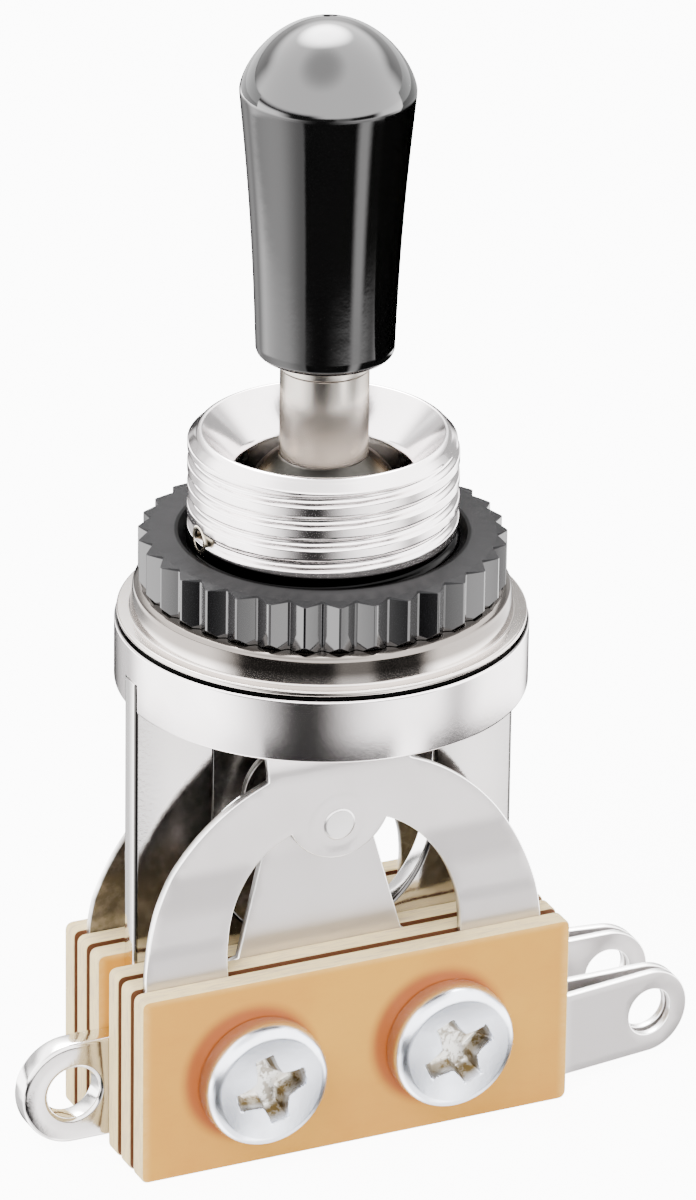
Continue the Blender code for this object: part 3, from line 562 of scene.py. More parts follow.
class Painter:
    """Adds nodes to one tree and wires the shader at its end."""

    def __init__(self, tree: bpy.types.NodeTree) -> None:
        """Starts on a tree whose nodes are already cleared or standard."""
        self.tree = tree

    def node(self, kind: str, settings: Optional[dict] = None, sockets: Optional[dict] = None,
             output: Union[int, str] = 0) -> Wire:
        """Adds one node.

        Args:
            kind: The node's type.
            settings: Its properties, set before its sockets.
            sockets: Values or wires by socket name or number.
            output: The socket that it hands on.

        Returns:
            The wire from that socket.
        """
        made = self.tree.nodes.new(kind)
        for label, value in (settings or {}).items():
            setattr(made, label, value)
        feed(made, sockets or {})
        return Wire(self.tree, made.outputs[output])

    def place(self) -> Wire:
        """Object coordinates in metres."""
        return self.node("ShaderNodeTexCoord", output="Object")

    def parts(self, vector: Wire) -> tuple[Wire, Wire, Wire]:
        """Splits a vector into its three parts."""
        split = self.tree.nodes.new("ShaderNodeSeparateXYZ")
        feed(split, {0: vector})
        return tuple(Wire(self.tree, split.outputs[index]) for index in range(3))

    def height(self, place: Wire) -> Wire:
        """Height of a place in millimetres."""
        return self.parts(place)[2] * PER_METRE

    def scaled(self, vector: Wire, scale: Row) -> Wire:
        """Stretches a vector along its three axes."""
        return self.node("ShaderNodeVectorMath", {"operation": "MULTIPLY"}, {0: vector, 1: scale})

    def noise(
        self, vector: Wire, scale: Number, detail: Number = 4.0, roughness: Number = 0.55
    ) -> Wire:
        """Soft noise between 0 and 1."""
        sockets = {"Vector": vector, "Scale": scale, "Detail": detail, "Roughness": roughness}
        return self.node("ShaderNodeTexNoise", None, sockets)

    def mark(self, name: str) -> Wire:
        """The value of a named attribute."""
        return self.node("ShaderNodeAttribute", {"attribute_name": name}, output="Fac")

    def blend(self, share: Term, first: Union[Wire, Colour], second: Union[Wire, Colour]) -> Wire:
        """Mixes two colours."""
        made = self.tree.nodes.new("ShaderNodeMix")
        made.data_type = "RGBA"
        numbers = [index for index, slot in enumerate(made.inputs) if slot.enabled]
        terms = [(*term, 1.0) if isinstance(term, tuple) else term for term in (share, first, second)]
        feed(made, dict(zip(numbers, terms)))
        return Wire(self.tree, next(slot for slot in made.outputs if slot.enabled))

    def bump(self, height: Wire, strength: Number, distance: Number) -> Wire:
        """Turns a height in shares of the distance into a normal."""
        sockets = {"Height": height, "Strength": strength, "Distance": distance}
        return self.node("ShaderNodeBump", None, sockets)


def new_material(name: str, sockets: dict[str, Term]) -> tuple[bpy.types.Material, bpy.types.Node]:
    """Makes a material and sets even values on its Principled shader.

    Args:
        name: The material's name.
        sockets: Values by socket name.

    Returns:
        The material and its shader.
    """
    made = bpy.data.materials.new(name)
    made.use_nodes = True
    shader = made.node_tree.nodes["Principled BSDF"]
    feed(shader, sockets)
    return made, shader


@dataclass(frozen=True)
class Finish:
    """A surface finish with its record slot.

    Attributes:
        name: The material's name.
        slot: The record's material slot; not used.
        colour: Base colour.
        metallic: How far it is a metal.
        roughness: Its mean roughness.
    """

    name: str
    slot: str
    colour: Colour
    metallic: float = 1.0
    roughness: float = 0.25

    def material(self) -> bpy.types.Material:
        """Returns the finish's material, made once."""
        known = bpy.data.materials.get(self.name)
        if known is not None:
            return known
        made, shader = new_material(self.name, {
            "Base Color": (*self.colour, 1.0), "Metallic": self.metallic, "Roughness": self.roughness,
        })
        self.paint(Painter(made.node_tree), shader)
        return made

    def paint(self, painter: Painter, shader: bpy.types.Node) -> None:
        """Adds the finish's own pattern; the plain finish has none."""


@dataclass(frozen=True)
class Plated(Finish):
    """Plated metal: cloudy tone, faint stains and fine random scratches.

    Attributes:
        stain: Colour of the faint stains.
        stained: How strongly they show.
        clouding: How far the roughness wanders.
        drag: Stretch of the scratches along the three axes.
        relief: Strength of the scratches' bump.
        edge_light: How far sheared edges are lightened, a painted highlight.
        ior: Index of refraction of a finish that isn't metal.
        cloud_scale: Fineness of the clouds.
        cloud_from: Noise value at which a cloud begins.
    """

    stain: Colour = (0.42, 0.38, 0.34)
    stained: float = 0.25
    clouding: float = 0.08
    drag: Row = (1.0, 1.0, 1.0)
    relief: float = 0.05
    edge_light: float = 0.0
    ior: float = 1.5
    cloud_scale: float = 260.0
    cloud_from: float = 0.3

    def clouded(self, painter: Painter, clouds: Wire) -> Wire:
        """Mixes the stain into the colour where the clouds are thick."""
        return painter.blend(clouds.ramp(self.cloud_from, 0.75) * self.stained, self.colour, self.stain)

    def paint(self, painter: Painter, shader: bpy.types.Node) -> None:
        """Adds clouds, stains, scratches and what a finer finish adds to them."""
        place = painter.place()
        clouds = painter.noise(place, self.cloud_scale, 3.0)
        spots = painter.noise(place, 1500.0, 5.0, 0.7).ramp(0.60, 0.74)
        fine = painter.noise(painter.scaled(place, self.drag), 5200.0, 3.0, 0.6)
        tone = painter.blend(spots * (0.5 * self.stained), self.clouded(painter, clouds), self.stain)
        rough = self.roughness + (clouds - 0.5) * self.clouding + (fine - 0.5) * (self.clouding * 0.6)
        height = fine + clouds * 0.6 + self.pressed(painter, place)
        # Painted highlight: sheared edges are lightened towards white.
        if self.edge_light > 0.0:
            edge = painter.mark("edge")
            tone = painter.blend(edge * self.edge_light, tone, (1.0, 0.995, 0.985))
        feed(shader, {
            "IOR": self.ior,
            "Base Color": self.shaded(painter, place, tone),
            "Roughness": rough,
            "Normal": painter.bump(height, self.relief, 0.02 * MM),
        })

    def shaded(self, painter: Painter, place: Wire, tone: Wire) -> Wire:
        """Returns the tone with the finish's own dark places; plain plating has none."""
        return tone

    def pressed(self, painter: Painter, place: Wire) -> Term:
        """Returns the height of marks pressed into the surface; plain plating has none."""
        return 0.0


@dataclass(frozen=True)
class Banded(Plated):
    """Plating with a painted shade over a stretch of height.

    Attributes:
        dark: The tone of the painted shade.
        fade: Heights in millimetres where the change begins and ends.
        share: How far the tone changes.
    """

    dark: Colour = (0.004, 0.004, 0.004)
    fade: Pair = (0.0, 1.0)
    share: float = 1.0

    def shaded(self, painter: Painter, place: Wire, tone: Wire) -> Wire:
        """Paints the shade over what lies beyond the fade."""
        # Painted shade over a stretch of height.
        return painter.blend(painter.height(place).ramp(*self.fade) * self.share, tone, self.dark)


@dataclass(frozen=True)
class Riveted(Plated):
    """Spring leaf with a painted shade on its back and the faint ring that riveting pressed round its
    contact.

    Attributes:
        rivet: X and Z place of the rivet and radius of the ring, in millimetres.
        back_shade: Tone of the painted shade on its back.
    """

    rivet: Row = (-0.2, -10.9, 1.3)
    back_shade: Colour = (0.13, 0.12, 0.11)

    def shaded(self, painter: Painter, place: Wire, tone: Wire) -> Wire:
        """Paints shade, in uneven clouds, on the side that faces the frame plate."""
        cloud = painter.noise(place, 900.0, 4.0, 0.65).ramp(0.25, 0.6) * 0.35 + 0.65
        near_frame = (painter.parts(place)[0] * PER_METRE).ramp(10.6, 9.4)
        # Painted shade: the leaf's back is darkened near the frame plate, where it lies in shade.
        return painter.blend(painter.mark("back") * cloud * near_frame, tone, self.back_shade)

    def pressed(self, painter: Painter, place: Wire) -> Term:
        """Raises a soft ring round the rivet."""
        x, _, z = painter.parts(place)
        reach = (x * PER_METRE - self.rivet[0]).reach(z * PER_METRE - self.rivet[1])
        return reach.band(self.rivet[2] - 0.04, self.rivet[2] + 0.04, 0.22) * 5.0


@dataclass(frozen=True)
class Sheared(Plated):
    """Plated sheet with a thin line of painted shade where its faces roll into the sheared edges.

    Attributes:
        legs_from: Heights in millimetres between which the line begins.
        line: Tone of the painted shade line.
    """

    legs_from: Pair = (-17.2, -16.8)
    line: Colour = (0.03, 0.028, 0.026)

    def shaded(self, painter: Painter, place: Wire, tone: Wire) -> Wire:
        """Paints a dark shade line on the rounded edges of the legs."""
        edge = painter.mark("edge")
        legs = painter.height(place).ramp(*self.legs_from)
        # Painted shade: a thin dark line along the legs' rounded edges.
        return painter.blend(edge.band(0.15, 0.7, 0.12) * legs * 0.92, tone, self.line)


@dataclass(frozen=True)
class Peened(Plated):
    """Cross pin whose peened ends have a painted shade in the pit and a broken dark ring at the rim.

    Attributes:
        axis: Height of the pin's axis in millimetres.
        pit_shade: Tone of the painted shade in the pit, also used for a broken dark ring at the rim.
    """

    axis: float = 2.9
    pit_shade: Colour = (0.03, 0.022, 0.012)

    def shaded(self, painter: Painter, place: Wire, tone: Wire) -> Wire:
        """Paints shade into the pit in the middle of the end and a broken dark ring at its rim."""
        _, y, z = painter.parts(place)
        reach = (y * PER_METRE).reach(z * PER_METRE - self.axis)
        broken = painter.noise(place, 1300.0, 4.0, 0.7).ramp(0.4, 0.6)
        # Painted shade in the pit, and a broken dark ring at the rim.
        dark = reach.ramp(0.5, 0.36).at_least(reach.ramp(0.62, 0.8) * broken)
        return painter.blend(dark, tone, self.pit_shade)


@dataclass(frozen=True)
class ShadedBall(Plated):
    """Plated lever whose ball carries a painted shade, standing in for the dark funnel and tip that it
    mirrors.

    Attributes:
        ball_shade: Tone of the painted shade on the ball.
        shade_top: Height in millimetres where the painted shade ends.
        mirror: Tint of the mirror light at grazing angles.
    """

    ball_shade: Colour = (0.021, 0.0205, 0.0185)
    shade_top: float = 6.15
    mirror: Colour = (0.3, 0.28, 0.26)

    def paint(self, painter: Painter, shader: bpy.types.Node) -> None:
        """Adds the plating's clouds and the painted shade on the ball."""
        place = painter.place()
        clouds = painter.noise(place, self.cloud_scale, 4.0)
        wavy = painter.parts(place)[2] + (clouds - 0.5) * (0.4 * MM)
        # Painted shade: the ball is darkened up to a wavy height, standing in for the dark funnel and
        # tip that it mirrors.
        ball_shade = wavy.ramp((self.shade_top + 0.1) * MM, (self.shade_top - 0.1) * MM)
        share = ball_shade * (clouds * 0.25 + 0.85).at_most(1.0)
        feed(shader, {
            "Specular Tint": (*self.mirror, 1.0),
            "Base Color": painter.blend(share, self.clouded(painter, clouds), self.ball_shade),
            "Roughness": self.roughness + (clouds - 0.5) * self.clouding + ball_shade * 0.12,
            "Normal": painter.bump(clouds, self.relief, 0.03 * MM),
        })


@dataclass(frozen=True)
class Laminate(Finish):
    """Resin board: an even tan face with soft mottling and pale fibrous cut edges.

    Attributes:
        shade: The face's deeper tone.
        fibre: The cut edge's pale tone.
        glow: The warm tone of the painted shadows beside the screw heads.
        gap_shade: The painted shade on the faces inside the leaf gaps.
        screws: The x places of the screws, and their height last, in millimetres.
        gaps: Depths in millimetres between which the faces get the painted shade.
        worn: Tone of the worn rim of the faces.
        layer: Tone of the darker layers of a cut edge.
        thread: Tone of the loose threads of a cut edge.
    """

    shade: Colour = (0.52, 0.21, 0.02)
    fibre: Colour = (0.92, 0.74, 0.38)
    glow: Colour = (0.30, 0.065, 0.007)
    gap_shade: Colour = (0.13, 0.05, 0.02)
    screws: Row = (-4.8, 4.4, -21.7)
    gaps: Pair = (1.5, 4.1)
    worn: Colour = (0.80, 0.50, 0.14)
    layer: Colour = (0.62, 0.48, 0.32)
    thread: Colour = (0.16, 0.11, 0.07)

    def paint(self, painter: Painter, shader: bpy.types.Node) -> None:
        """Adds the mottled face, the painted shade in the leaf gaps, the layered edge and the warm
        painted shadows by the screws.
        """
        place = painter.place()
        x, y, z = painter.parts(place)
        clouds = painter.noise(place, 180.0, 3.0)
        weave = painter.noise(painter.scaled(place, (1.0, 1.0, 2.6)), 1500.0, 4.0, 0.65)
        mottle = clouds.ramp(0.32, 0.72) * 0.45 + weave.ramp(0.45, 0.8) * 0.15
        face = painter.blend(mottle, self.colour, self.shade)
        # Painted shade: faces inside the leaf gaps are darkened.
        gap = (y.absolute() * PER_METRE).band(*self.gaps, 0.05)
        face = painter.blend(gap, face, self.gap_shade)
        ends = (x.absolute() * PER_METRE).ramp(9.95, 10.45)
        rim = ends.at_least((z * PER_METRE).ramp(-17.35, -17.0)) * (1.0 - gap)
        face = painter.blend(rim * (weave * 0.8 + 0.1), face, self.worn)
        # Painted shadows: warm dark patches beside the screw heads, offset up and to the left.
        left, right = (self.head_shadow(x, z, centre) for centre in self.screws[:2])
        face = painter.blend(left.at_least(right) * 0.95, face, self.glow)
        layers = painter.noise(painter.scaled(place, (1.0, 9.0, 1.0)), 900.0, 5.0, 0.7)
        threads = painter.noise(painter.scaled(place, (3.0, 7.0, 3.0)), 2600.0, 4.0, 0.8)
        cut = painter.blend(layers.ramp(0.42, 0.7) * 0.8, self.fibre, self.layer)
        cut = painter.blend(threads.ramp(0.62, 0.78) * 0.8, cut, self.thread)
        edge = painter.mark("edge").ramp(0.2, 0.8)
        height = edge * (layers * 1.2 + threads * 0.8) + weave * 0.12
        feed(shader, {
            "Specular IOR Level": 0.3,
            "Base Color": painter.blend(edge, face, cut),
            "Roughness": self.roughness + edge * 0.35 + (clouds - 0.5) * 0.12,
            "Normal": painter.bump(height, 0.35, 0.04 * MM),
        })

    def head_shadow(self, x: Wire, z: Wire, centre: float) -> Wire:
        """Is 1 where a screw head's painted shadow lies close to its foot and fades away from it."""
        reach = (x - (centre - 0.4) * MM).reach(z - (self.screws[2] + 0.25) * MM)
        return reach.ramp(3.6 * MM, 2.9 * MM)


@dataclass(frozen=True)
class Gloss(Finish):
    """Polished black resin under a clear skin, with very faint handling marks.

    Attributes:
        coat: Weight of the clear skin.
        haze: How far the roughness wanders.
        skin_from: Height in millimetres where the polished skin starts.
    """

    coat: float = 1.0
    haze: float = 0.03
    skin_from: float = 23.1

    def paint(self, painter: Painter, shader: bpy.types.Node) -> None:
        """Adds the skin and faint marks."""
        place = painter.place()
        smears = painter.noise(place, 420.0, 4.0, 0.6)
        grain = painter.noise(place, 2400.0, 4.0, 0.7)
        skin = painter.parts(place)[2].ramp((self.skin_from - 0.05) * MM, (self.skin_from + 0.05) * MM)
        feed(shader, {
            "Coat Roughness": 0.05,
            "Coat Weight": skin * self.coat,
            "Roughness": self.roughness + smears.ramp(0.45, 0.75) * self.haze,
            "Normal": painter.bump(smears + grain * 0.35, 0.12, 0.03 * MM),
        })


@dataclass(frozen=True)
class Lacquered(Plated):
    """Black plate, dull on its worn top face and glossy on its toothed side, with a painted shade round
    its mouth.

    Attributes:
        glossy_below: Height in millimetres below which the plate is glossy.
        glossy_from: Radii in millimetres between which the gloss begins.
        mouth: Radii in millimetres between which the painted black shade round the mouth ends.
        mouth_shade: Tone of the painted shade round the mouth.
        side_tone: Tone of the side.
        coat_ior: Index of refraction of the side's gloss.
    """

    glossy_below: float = 2.24
    glossy_from: Pair = (7.3, 7.5)
    mouth: Pair = (6.6, 6.5)
    mouth_shade: Colour = (0.002, 0.002, 0.002)
    side_tone: Colour = (0.0025, 0.0025, 0.003)
    coat_ior: float = 1.8

    def shaded(self, painter: Painter, place: Wire, tone: Wire) -> Wire:
        """Paints shade round the mouth, adds the gloss of the toothed side and darkens that side's tone.
        """
        x, y, z = painter.parts(place)
        reach = x.reach(y) * PER_METRE
        below = (z * PER_METRE).ramp(self.glossy_below + 0.02, self.glossy_below - 0.02)
        side = below * reach.ramp(*self.glossy_from)
        # Painted shade: the ring round the mouth is painted black.
        tone = painter.blend(reach.ramp(*self.mouth), tone, self.mouth_shade)
        shader = painter.tree.nodes["Principled BSDF"]
        feed(shader, {"Coat IOR": self.coat_ior, "Coat Roughness": 0.09, "Coat Weight": side})
        return painter.blend(side, tone, self.side_tone)


@dataclass(frozen=True)
class Recessed(Plated):
    """Plated screw whose driver recess has a dark yellowish painted shade and a painted highlight on its
    floor.

    Attributes:
        dull: Tone of the painted shade in the recess.
        floor_highlight: Tone of the painted highlight on its floor.
    """

    dull: Colour = (0.15, 0.105, 0.04)
    floor_highlight: Colour = (0.9, 0.89, 0.85)

    def paint(self, painter: Painter, shader: bpy.types.Node) -> None:
        """Adds the plating, the painted shade in the recess and the painted highlight on its floor."""
        place = painter.place()
        clouds = painter.noise(place, self.cloud_scale, 4.0)
        fine = painter.noise(place, 4200.0, 4.0, 0.6)
        # Painted shade on the recess walls and a painted highlight on its floor.
        depth = painter.mark("recess").ramp(0.02, 0.5)
        dirt = painter.noise(place, 2600.0, 4.0, 0.7).ramp(0.42, 0.56)
        floor = painter.mark("recess").ramp(0.75, 1.0) * (dirt * 0.7 + 0.3)
        inner = painter.blend((floor + dirt * 0.25).at_most(1.0), self.dull, self.floor_highlight)
        feed(shader, {
            "Base Color": painter.blend(depth, self.clouded(painter, clouds), inner),
            "Roughness": self.roughness + (clouds - 0.5) * self.clouding + depth * 0.15,
            "Normal": painter.bump(fine + clouds, self.relief, 0.03 * MM),
        })


BRIGHT = (0.87, 0.83, 0.83)
# The lever's ball is darkened by a painted shade.
SHAFT_NICKEL = ShadedBall("lever_nickel", "nickel", (0.46, 0.43, 0.39), 1.0, 0.22, cloud_scale=300.0)
# The collar's cone is painted dark brown below the nut, a painted reflection of the black nut and the
# shade under it.
COLLAR_NICKEL = Banded(
    "collar_nickel", "nickel", (0.60, 0.555, 0.52), 1.0, 0.12,
    dark=(0.10, 0.088, 0.078), fade=(-1.2, -0.7), share=0.9,
)
# The thread's foot is painted black, as painted shade where it goes into the nut's mouth.
THREAD_NICKEL = Banded("thread_nickel", "nickel", BRIGHT, 1.0, 0.13, fade=(2.78, 2.66))
# The cup's top is painted dark, as painted shade in the seam where the collar's brim meets it.
CUP_NICKEL = Banded("cup_nickel", "nickel", BRIGHT, 1.0, 0.13, fade=(-1.765, -1.745))
# The pin's ends carry a painted shade in their pits.
PIN_STEEL = Peened(
    "pin_steel", "nickel", (0.62, 0.57, 0.47), 1.0, 0.22, stain=(0.18, 0.13, 0.07), stained=0.8,
)
# The frame's sheared edges carry a painted highlight and, on the legs, a painted shade line.
FRAME_NICKEL = Sheared(
    "frame_sheet", "frame_nickel", (0.58, 0.56, 0.555), 1.0, 0.12, edge_light=0.5, relief=0.12,
)
# The leaves' sheared edges carry a painted highlight and their backs a painted shade.
LEAF = Riveted(
    "spring_leaf", "leaf_metal", (0.57, 0.545, 0.543), 1.0, 0.32, edge_light=0.9, stained=0.16,
)
SILVER = Plated("contact_silver", "contact_metal", (0.66, 0.645, 0.64), 1.0, 0.32)
# The screws' recesses carry a painted shade and a painted highlight on their floors.
ZINC = Recessed(
    "zinc_plate", "zinc", (0.74, 0.78, 0.86), 1.0, 0.24, clouding=0.2, relief=0.12,
    cloud_scale=700.0, cloud_from=0.35,
)
# The nut's mouth carries a painted shade.
BLACK_PLATE = Lacquered(
    "black_plate", "black_metal", (0.032, 0.032, 0.033), 0.0, 0.3, stain=(0.012, 0.012, 0.012),
    clouding=0.05, relief=0.05, ior=1.07,
)
BLACK_RESIN = Gloss("black_resin", "black_plastic", (0.0015, 0.0015, 0.0015), 0.0, 0.06)
# The boards carry painted shade in the leaf gaps and painted shadows beside the screw heads.
BOARD = Laminate("resin_board", "phenolic", (0.62, 0.30, 0.030), 0.0, 0.45)
NATURAL = Finish("natural_nylon", "nylon", (0.82, 0.80, 0.74), 0.0, 0.45)


# ---- pieces


@dataclass
class Grip:
    """The flared black tip that the finger pushes.

    Attributes:
        bottom: Height of its foot.
        length: Height from the foot to the crease.
        foot_radius: Radius at the foot.
        crease_radius: Radius at the crease.
        sag: How far the side is waisted.
        dome: Height of the top above the crease.
    """

    bottom: float = 10.88
    length: float = 12.22
    foot_radius: float = 3.05
    crease_radius: float = 3.86
    sag: float = 0.12
    dome: float = 3.25

    def profile(self) -> np.ndarray:
        """Outline of the tip from the axis below round to the axis above.

        The side is a straight flare less sag times sine of half a turn. The dome's radius is
        the crease radius times cosine a at a height of the dome times sine a to the 4/3.
        """
        share = np.linspace(0.0, 1.0, 40)
        height = self.bottom + 0.28 + (self.length - 0.4) * share
        rise = height - self.bottom
        flare = self.foot_radius + (self.crease_radius - self.foot_radius) * rise / self.length
        side = np.stack([flare - self.sag * np.sin(np.pi * rise / self.length), height], -1)
        turn = np.linspace(0.0, 0.5 * np.pi, 56)[2:]
        top = self.bottom + self.length
        dome = top + self.dome * np.sin(turn) ** (4 / 3)
        cap = np.stack([self.crease_radius * np.cos(turn), dome], -1)
        foot = arc((self.foot_radius - 0.28, self.bottom + 0.28), 0.28, -90, 0, 8)[:-1]
        start = np.array([[0.0, self.bottom], [1.9, self.bottom]])
        return np.concatenate([start, foot, side, cap])

    def build(self) -> None:
        """Makes the tip."""
        make_turned("grip", self.profile(), Body.LEVER, BLACK_RESIN, ["toggle_tip"], 144, crease=60.0)


@dataclass
class LeverArm:
    """The turned lever with its pivot ball, and the bead on its tail.

    Attributes:
        pivot: Height of the ball's centre.
        ball: Radius of the ball.
        shaft: Radius of the shaft above it.
        stem: Radius of the stem below it.
        tail: Radius of the tail inside the bead.
        top: Height where the tip begins.
        bead_middle: Height of the bead's middle.
        bead_half: Half of its length.
        bead: Its largest radius.
    """

    pivot: float = 2.9
    ball: float = 3.74
    shaft: float = 1.97
    stem: float = 1.35
    tail: float = 0.8
    top: float = 10.86
    bead_middle: float = -6.1
    bead_half: float = 1.55
    bead: float = 1.62

    def profile(self) -> np.ndarray:
        """Outline from the tail's end up over the ball to inside the tip."""
        bead_top = self.bead_middle + self.bead_half
        bead_bottom = self.bead_middle - self.bead_half
        lower = rounded_chain([
            (0.0, bead_bottom + SEAT, 0.0), (self.tail, bead_bottom + SEAT, 0.1),
            (self.tail, bead_top + SEAT, 0.0), (self.stem, bead_top + SEAT, 0.08),
            (self.stem, bead_top + 0.6, 0.0),
        ])
        low = -math.degrees(math.acos(self.stem / self.ball))
        high = math.degrees(math.acos(self.shaft / self.ball))
        globe = arc((0.0, self.pivot), self.ball, low, high, 40)
        upper = rounded_chain([
            (self.shaft, self.pivot + 3.4, 0.0), (self.shaft, self.top - 0.66, 0.03),
            (self.shaft + 0.08, self.top - 0.58, 0.03), (self.shaft + 0.08, self.top, 0.02),
            (1.45, self.top, 0.0), (1.45, self.top + 4.0, 0.1), (0.0, self.top + 4.0, 0.0),
        ])
        return np.concatenate([lower, globe, upper])

    def build(self) -> None:
        """Makes the lever and its bead."""
        make_turned("lever_arm", self.profile(), Body.LEVER, SHAFT_NICKEL, ["lever"], 96, crease=25.0)
        half, widest = self.bead_half, self.bead
        upper = [
            (widest * 0.94, half * 0.6, 0.3), (widest * 0.72, half, 0.12), (self.tail + 0.04, half, 0.0),
        ]
        lower = [(radius, -height, reach) for radius, height, reach in upper[::-1]]
        chain = rounded_chain([*lower, (widest, 0.0, 0.5), *upper, lower[0]])
        centre = (0.0, 0.0, self.bead_middle)
        make_turned("bead", chain, Body.LEVER, NATURAL, ["lever_bead"], 64, centre=centre)


@dataclass
class ThreadedBushing:
    """The threaded bushing with its funnel mouth and the peened cross pin.

    Attributes:
        radius: Outer radius of the thread.
        depth: Depth of the thread.
        pitch: Rise of the thread in one turn.
        top: Height of the rim.
        chamfer: Width of the chamfer outside the rim.
        mouth: Radius where the funnel starts.
        throat: Radius of the bore.
        funnel: Depth of the funnel.
        ceiling: Height of the cup's inner roof, where the foot is held.
        foot: Radius of the foot.
        foot_thickness: Its thickness.
        pin_radius: Radius of the cross pin.
        pin_height: Height of the cross pin.
    """

    radius: float = 6.0
    depth: float = 0.26
    pitch: float = 1.02
    top: float = 7.2
    chamfer: float = 0.5
    mouth: float = 5.36
    throat: float = 3.83
    funnel: float = 1.8
    ceiling: float = -2.47
    foot: float = 6.9
    foot_thickness: float = 0.8
    pin_radius: float = 0.9
    pin_height: float = 2.9

    def surface(self) -> np.ndarray:
        """Points of the bushing, ring by ring from the foot over the rim and down the bore.

        In the threaded stretch the radius is the thread's radius less its depth times a groove
        that repeats every pitch along height minus pitch times angle over a whole turn, and the
        chamfer's cone trims it near the rim.
        """
        columns = 144
        angle = np.linspace(0.0, TAU, columns, endpoint=False)[None]
        seat = self.ceiling - SEAT
        floor = seat - self.foot_thickness
        below = rounded_chain([
            (self.throat, floor, 0.0), (self.foot, floor, 0.1), (self.foot, seat, 0.1),
            (self.radius, seat, 0.0),
        ])
        height = np.linspace(self.ceiling + SEAT, self.top - 0.16, 168)[:, None]
        phase = (height - self.pitch * angle / TAU) / self.pitch
        wave = 0.5 - 0.5 * np.cos(TAU * phase)
        groove = smooth_step(0.4, 1.0, wave) * smooth_step(1.0, 1.7, height)
        radius = self.radius - self.depth * groove
        cone = self.radius - self.chamfer + (self.top - height) * 1.0
        radius = np.minimum(radius, cone)
        wall = round_axis(radius, angle, height)
        rim = self.radius - self.chamfer
        inner = rounded_chain([
            (rim + 0.1, self.top - 0.08, 0.0), (rim - 0.04, self.top, 0.06),
            (self.mouth, self.top, 0.07), (self.throat, self.top - self.funnel, 0.25),
            (self.throat, floor, 0.0),
        ])
        return np.concatenate([turned(below, columns), wall, turned(inner, columns)])

    def build(self) -> None:
        """Makes the bushing and both ends of the cross pin."""
        make_grid(
            "bushing_body", self.surface(), Body.FRAME, THREAD_NICKEL, ["bushing"],
            crease=50.0, loop=True,
        )
        reach = self.radius + 0.02
        end = [(0.0, reach - 0.5, 0.0), (0.25, reach - 0.45, 0.05), (0.42, reach - 0.02, 0.1),
               (self.pin_radius * 0.7, reach, 0.1), (self.pin_radius, reach - 0.22, 0.15)]
        other = [(radius, -height, rounding) for radius, height, rounding in end]
        chain = rounded_chain(other + end[::-1])
        centre = (0.0, 0.0, self.pin_height)
        make_turned("cross_pin", chain, Body.FRAME, PIN_STEEL, ["pivot_pin"], 48, Axis.RIGHT, centre)


@dataclass
class RingNut:
    """The ring nut with straight V teeth all round.

    Attributes:
        radius: Radius over the teeth.
        thickness: Its height.
        teeth: How many teeth it has.
        depth: Depth of the teeth.
        bore: Radius of the hole.
        mouth: Width of the cone round the hole.
        mouth_depth: Depth of that cone.
        chamfer: Size of the lower chamfer.
        cone: How far the coned top falls from the roots to the crests.
        turn: Angle of the first tooth in degrees.
        edge: Width of the rounding of its edges.
    """

    radius: float = 8.17
    thickness: float = 2.35
    teeth: int = 33
    depth: float = 0.48
    bore: float = 6.05
    mouth: float = 0.35
    mouth_depth: float = 0.25
    chamfer: float = 0.3
    cone: float = 0.12
    turn: float = 0.0
    edge: float = 0.035

    def surface(self) -> np.ndarray:
        """Points of the nut, six columns to a tooth: crest, chamfer's end, root and back again.

        The outer radius runs straight from crest to root. The top falls evenly over the teeth, and
        the lower edge gives way by as much as the radius stands beyond the chamfer's foot.
        """
        low, high = SEAT, SEAT + self.thickness
        foot = self.radius - self.chamfer
        crest, root = 0.035, 0.465
        middle = crest + (root - crest) * self.chamfer / self.depth
        phases = np.array([-crest, crest, middle, root, 1.0 - root, 1.0 - middle])
        valley = self.radius - self.depth
        radii = np.array([self.radius, self.radius, foot, valley, valley, foot])
        tooth = (np.arange(self.teeth)[:, None] + phases) / self.teeth
        angle = (tooth * TAU + math.radians(self.turn)).ravel()
        outer = np.tile(radii, self.teeth)
        over, flat = np.maximum(outer - foot, 0.0), np.minimum(outer, foot)
        fall = (outer - valley) / self.depth * self.cone
        even = np.ones_like(angle)
        radius = np.stack([self.bore * even, flat, outer, outer, (valley - 0.02) * even,
                           (self.bore + self.mouth) * even, self.bore * even, self.bore * even])
        height = np.stack([low * even, low * even, low + over, high - fall, high * even, high * even,
                           (high - self.mouth_depth) * even, low * even])
        return round_axis(radius, angle, height)

    def build(self) -> None:
        """Makes the nut and rounds its edges a little."""
        points = self.surface()
        made = make_grid("toothed_nut", points, Body.NUT, BLACK_PLATE, ["ring_nut"], crease=12.0)
        bevel = made.modifiers.new("edges", "BEVEL")
        bevel.width, bevel.segments, bevel.limit_method = self.edge * MM, 2, "ANGLE"
        bevel.angle_limit = math.radians(14.0)
        bevel.harden_normals = True


